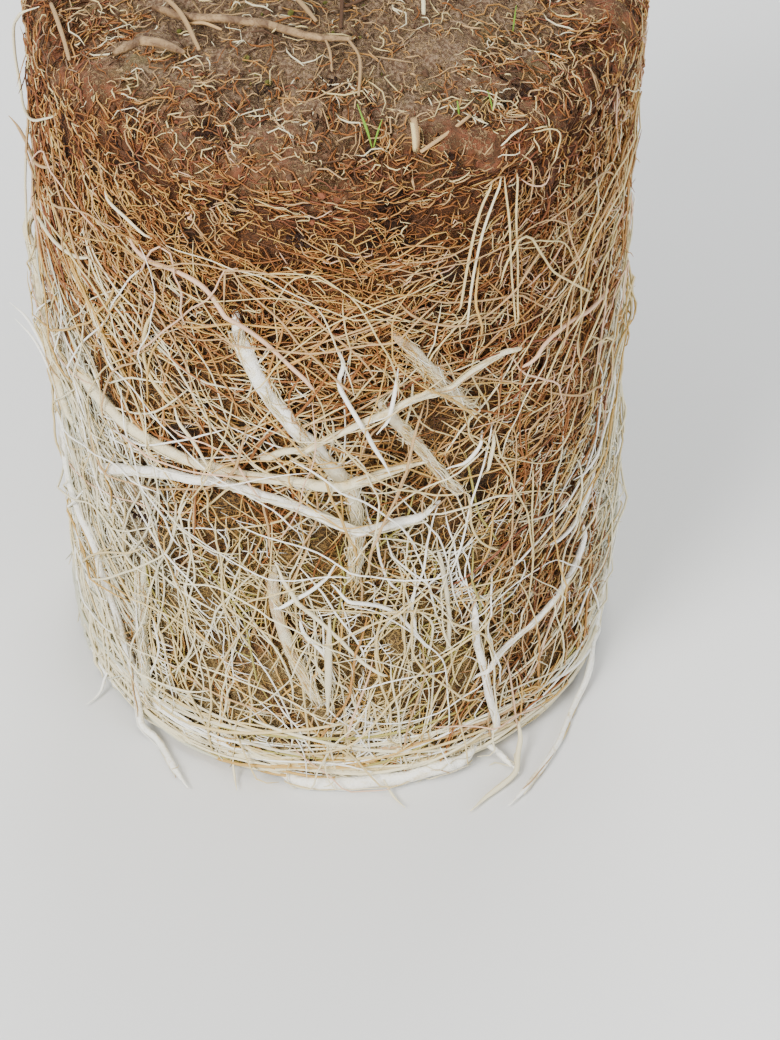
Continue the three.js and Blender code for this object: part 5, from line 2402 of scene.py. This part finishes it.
    def grow_leaves(
        self, line: Route, count: int, mass: int, draw: Draws, leaves: list[Array], stalks: Stalks
    ) -> None:
        """Sets leaves on a shoot, alternately on its two sides, with one at its tip.

        Args:
            line: The shoot's line.
            count: Leaves besides the one at the tip.
            mass: Which mass, from 0.
            draw: The seeded row.
            leaves: Takes each leaf's corners.
            stalks: Takes each stalk's points and radius.
        """
        for k in range(count + 1):
            last = k == count
            share = 0.99 if last else mix(0.25, 0.92, (k + 0.3 * draw.next()) / count)
            heading = line.heading(share)
            turned = (180 if k % 2 else 0) + 60 * (draw.next() - 0.5)
            along = heading.copy() if last else self.sideways(heading, turned, self.leaf_splay)
            along = unit(along - UP * (0.42 + 0.3 * (draw.next() - 0.5)))
            length = self.leaf_length * mix(0.62, 1.12, draw.next())
            roll = 1.5 * (draw.next() - 0.5)
            flat = unit(np.cross(along, UP))
            flat = flat * math.cos(roll) + np.cross(along, flat) * math.sin(roll)
            root = line.at([share])[0]
            base = root + along * self.stalk_length
            points = self.leaf_points(base, along, flat, length, 0.28 + 0.3 * draw.next())
            if not self.fits(points, mass, self.leaf_spare):
                continue
            leaves.append(points)
            bent = root + along * (self.stalk_length / 2) + UP * 0.0006
            stalks.append((np.array([root, bent, base]), self.stalk_radius))

    def grow(self, mass: int) -> tuple[list[Array], Stalks, Shoots]:
        """Grows one mass.

        Args:
            mass: Which mass, from 0.

        Returns:
            Its leaves, its leaf stalks and its woody shoots.
        """
        _, start, along, length = self.stems[mass]
        seed = Draws.child(self.seed, mass)
        draw = Draws(seed)
        stem = self.shoot(start + along * self.stem_gap, along, length, draw)
        leaves, stalks = [], []
        shoots = [(stem, self.stem_radius)]
        self.grow_leaves(stem, self.stem_leaves, mass, draw, leaves, stalks)
        for k in range(self.twigs):
            twig_seed = Draws.child(seed, k)
            draw = Draws(twig_seed)
            share = mix(self.twig_first, 0.93, k / (self.twigs - 1))
            out = self.sideways(stem.heading(share), self.boughs.turn * k + 40 * draw.next(), self.spread)
            reach = self.twig_length * mix(1, 1 - self.twig_taper, share) * mix(0.85, 1.1, draw.next())
            twig = self.shoot(stem.at([share])[0], out, reach, draw)
            if not self.fits(twig.at([0.35, 0.6, 0.8, 1.0]), mass, self.twig_spare):
                continue
            shoots.append((twig, self.twig_radius))
            self.grow_leaves(twig, self.twig_leaves, mass, draw, leaves, stalks)
            for j in range(self.sprays):
                fine = Draws(Draws.child(twig_seed, j))
                at = mix(0.16, 0.9, j / (self.sprays - 1))
                turned = 180 * (j % 2) + 70 * (fine.next() - 0.5)
                side = self.sideways(twig.heading(at), turned, self.spray_splay)
                reach = self.spray_length * mix(0.7, 1.2, fine.next())
                spray = self.shoot(twig.at([at])[0], side, reach, fine)
                if not self.fits(spray.at([0.3, 0.65, 1.0]), mass, self.leaf_spare):
                    continue
                shoots.append((spray, self.spray_radius))
                self.grow_leaves(spray, self.spray_leaves, mass, fine, leaves, stalks)
        return leaves, stalks, shoots

    def build(self, greens: Palette, wood: Palette) -> Dressing:
        """Makes the leaves and the twigs of every mass, each kind joined.

        Args:
            greens: Materials of the leaves.
            wood: Materials of the twigs and stalks.

        Returns:
            (piece, nodes that it replaces) pairs.
        """
        self.boxes: list[tuple[Array, Array]] = []
        for name, *_ in self.stems:
            low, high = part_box(name)
            self.boxes.append((np.array(low), np.array(high)))
        made = []
        for mass, (name, *_) in enumerate(self.stems):
            leaves, stalks, shoots = self.grow(mass)
            rng = default_rng(self.tone_seed + mass)
            tones = rng.choice(len(LEAF_TONES), len(leaves), p=LEAF_SHARES)
            corners = np.array(leaves)
            step = np.arange(len(leaves))[:, None, None] * corners.shape[1]
            faces = [(block[None] + step).reshape(-1, block.shape[1]) for block in self.leaf_faces()]
            slots = [np.repeat(tones, len(block)) for block in self.leaf_faces()]
            parts = MeshParts().add(corners, faces, slots)
            made.append((parts.build(name + "_leaves", greens.materials), [name]))
            made.append((self.wood(stalks, shoots).build(name + "_twigs", wood.materials), [name]))
            LOG.info("%s: %d leaves, %d shoots", name, len(leaves), len(shoots))
        return made

    def wood(self, stalks: Stalks, shoots: Shoots) -> MeshParts:
        """Makes the shoots and the leaf stalks of one mass.

        Args:
            stalks: Each stalk's points and its radius.
            shoots: Each shoot's line and its radius.

        Returns:
            The parts of the joined mesh.
        """
        aslant = np.array([0.3, 0.8, 0.1])
        twigs = MeshParts()
        for line, radius in shoots:
            shares = np.linspace(0, 1, max(6, round(line.length / 0.012)))
            path = line.at(shares)[None]
            radii = radius * (1 - (1 - self.tip_share) * shares)
            outward = np.broadcast_to(unit(np.cross(line.heading(0.5), aslant)), path.shape)
            twigs.add(*tubes(path, radii[None], 6, outward), 0 if radius == self.stem_radius else 1)
        for path, radius in stalks:
            outward = np.broadcast_to(unit(np.cross(path[-1] - path[0], aslant)), path[None].shape)
            twigs.add(*tubes(path[None], np.full((1, 3), radius), 3, outward), 2)
        return twigs


@dataclass(frozen=True)
class Lamp:
    """One large soft light, which shines at a point above the origin."""

    name: str
    place: tuple[float, float, float]
    aim: float
    size: float
    power: float
    colour: tuple[float, float, float] = (1.0, 1.0, 1.0)

    def build(self) -> None:
        """Adds the light to the scene."""
        data = bpy.data.lights.new(self.name, "AREA")
        data.shape = "DISK"
        data.size = self.size
        data.energy = self.power
        data.color = self.colour
        made = bpy.data.objects.new(self.name, data)
        made.location = self.place
        ahead = Vector((0, 0, self.aim)) - Vector(self.place)
        made.rotation_euler = ahead.to_track_quat("-Z", "Y").to_euler()
        made.visible_camera = False
        bpy.context.collection.objects.link(made)


LAMPS = (
    Lamp("key", (-1.9, -2.6, 2.7), 0.5, 1.8, 150, (1.0, 0.985, 0.96)),
    Lamp("fill", (2.6, -2.2, 1.6), 0.6, 2.2, 44, (0.96, 0.98, 1.0)),
    Lamp("back", (0.6, 3.0, 3.2), 0.9, 2.4, 80),
    Lamp("over", (0.0, -0.3, 4.2), 0.6, 2.6, 84),
)


@dataclass
class Studio:
    """The plain floor, the soft lights and the camera at the photograph's angle."""

    target: tuple[float, float, float] = (0.0, 0.0, 0.2458)
    distance: float = 2.3758
    elevation: float = 40.0
    focal_pixels: float = 4000.0
    frame_size: tuple[int, int] = (780, 1040)
    target_pixel: Span = (337.2, 299.4)
    roll: float = -0.844
    film: float = 36.0
    far: float = 50.0
    floor_half: float = 40.0
    floor_level: float = -0.0002
    air: tuple[float, float, float, float] = (0.93, 0.96, 1.0, 1.0)
    air_strength: float = 0.55
    look: str = "AgX - Medium High Contrast"

    def camera(self) -> None:
        """Sets the camera: it turns, and doesn't shift, to bring the ball's middle to its place."""
        rise = math.radians(self.elevation)
        away = Vector((0.0, -math.cos(rise), math.sin(rise)))
        aim = -away
        right = aim.cross(Vector((0, 0, 1))).normalized()
        up = right.cross(aim)
        look = Matrix((right, up, away)).transposed()
        width, height = self.frame_size
        off_x = (self.target_pixel[0] - width / 2) / self.focal_pixels
        off_y = -(self.target_pixel[1] - height / 2) / self.focal_pixels
        seen = Vector((off_x, off_y, -1.0)).normalized()
        turn = seen.rotation_difference(Vector((0, 0, -1))).to_matrix()
        spin = Matrix.Rotation(math.radians(self.roll), 3, "Z")
        data = bpy.data.cameras.new("camera")
        data.sensor_fit = "AUTO"
        data.sensor_width = self.film
        data.lens = self.focal_pixels * self.film / height
        data.clip_end = self.far
        made = bpy.data.objects.new("camera", data)
        made.matrix_world = (look @ spin @ turn).to_4x4()
        made.location = Vector(self.target) + away * self.distance
        bpy.context.collection.objects.link(made)
        bpy.context.scene.camera = made

    def floor(self) -> None:
        """Adds the wide pale floor."""
        corners = np.array([(-1, -1), (1, -1), (1, 1), (-1, 1)]) * self.floor_half
        points = np.concatenate([corners, np.full((4, 1), self.floor_level)], axis=1)
        parts = MeshParts().add(points, [np.arange(4)[None]])
        parts.build("studio_floor", [FloorFinish().material()])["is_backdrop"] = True

    def build(self) -> None:
        """Sets the whole studio."""
        self.floor()
        self.camera()
        for lamp in LAMPS:
            lamp.build()
        world = bpy.data.worlds.new("studio_air")
        world.use_nodes = True
        sky = world.node_tree.nodes["Background"].inputs
        sky["Color"].default_value = self.air
        sky["Strength"].default_value = self.air_strength
        bpy.context.scene.world = world
        bpy.context.scene.view_settings.look = self.look


def settle(pieces: Dressing) -> None:
    """Rides pieces on the body, hides what they replace and logs what each stands for.

    Args:
        pieces: (piece, nodes that it replaces) pairs.
    """
    for piece, nodes in pieces:
        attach(piece, BODY)
        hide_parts(*nodes)
        LOG.info("%s stands for %s", piece.name, ", ".join(nodes))


def main() -> None:
    """Builds the tree from its foot to its top, then the studio."""
    logging.basicConfig(level=logging.INFO, format="%(message)s")
    ball = Ball()
    mat_palette = Palette(MAT_TONES, roughness=0.6)
    soil_palette = Palette(SOIL_TONES, roughness=0.85)
    settle([(ball.build(FeltFinish().material(), SoilFinish().material()), ["root_ball"])])
    settle([(piece, ["root_ball"]) for piece in RootMat(ball).build(mat_palette)])
    roots = MainRoots(ball)
    finishes = {finish.name: finish.material() for finish in ROOT_FINISHES}
    settle(roots.build(finishes, mat_palette))
    soil = TopSoil(ball)
    settle([(soil.build_crumbs(soil_palette), ["root_ball"])])
    settle([(soil.build_dry_roots(soil_palette), ["root_ball"])])
    settle([(soil.build_sticks(soil_palette, roots), ["root_ball"])])
    settle(build_litter(ball, roots, RootFinish("dry", Tone.DRY, Tone.UMBER, 0.9).material()))
    trunk = Trunk(ball)
    settle([(trunk.build(BarkFinish("stem").material()), ["trunk"])])
    boughs = Boughs(trunk)
    settle(boughs.build(BarkFinish("bough", 0.3).material()))
    foliage = Foliage(trunk, boughs)
    greens = Palette(LEAF_TONES, roughness=0.42)
    wood = Palette((Tone.BARK, Tone.TWIG, Tone.LEAF_FRESH), roughness=0.6)
    settle(foliage.build(greens, wood))
    Studio().build()
    boxes = [[[float(v) for v in corner] for corner in box] for box in (CAD_BOUNDS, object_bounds())]


if __name__ == "__main__":
    main()
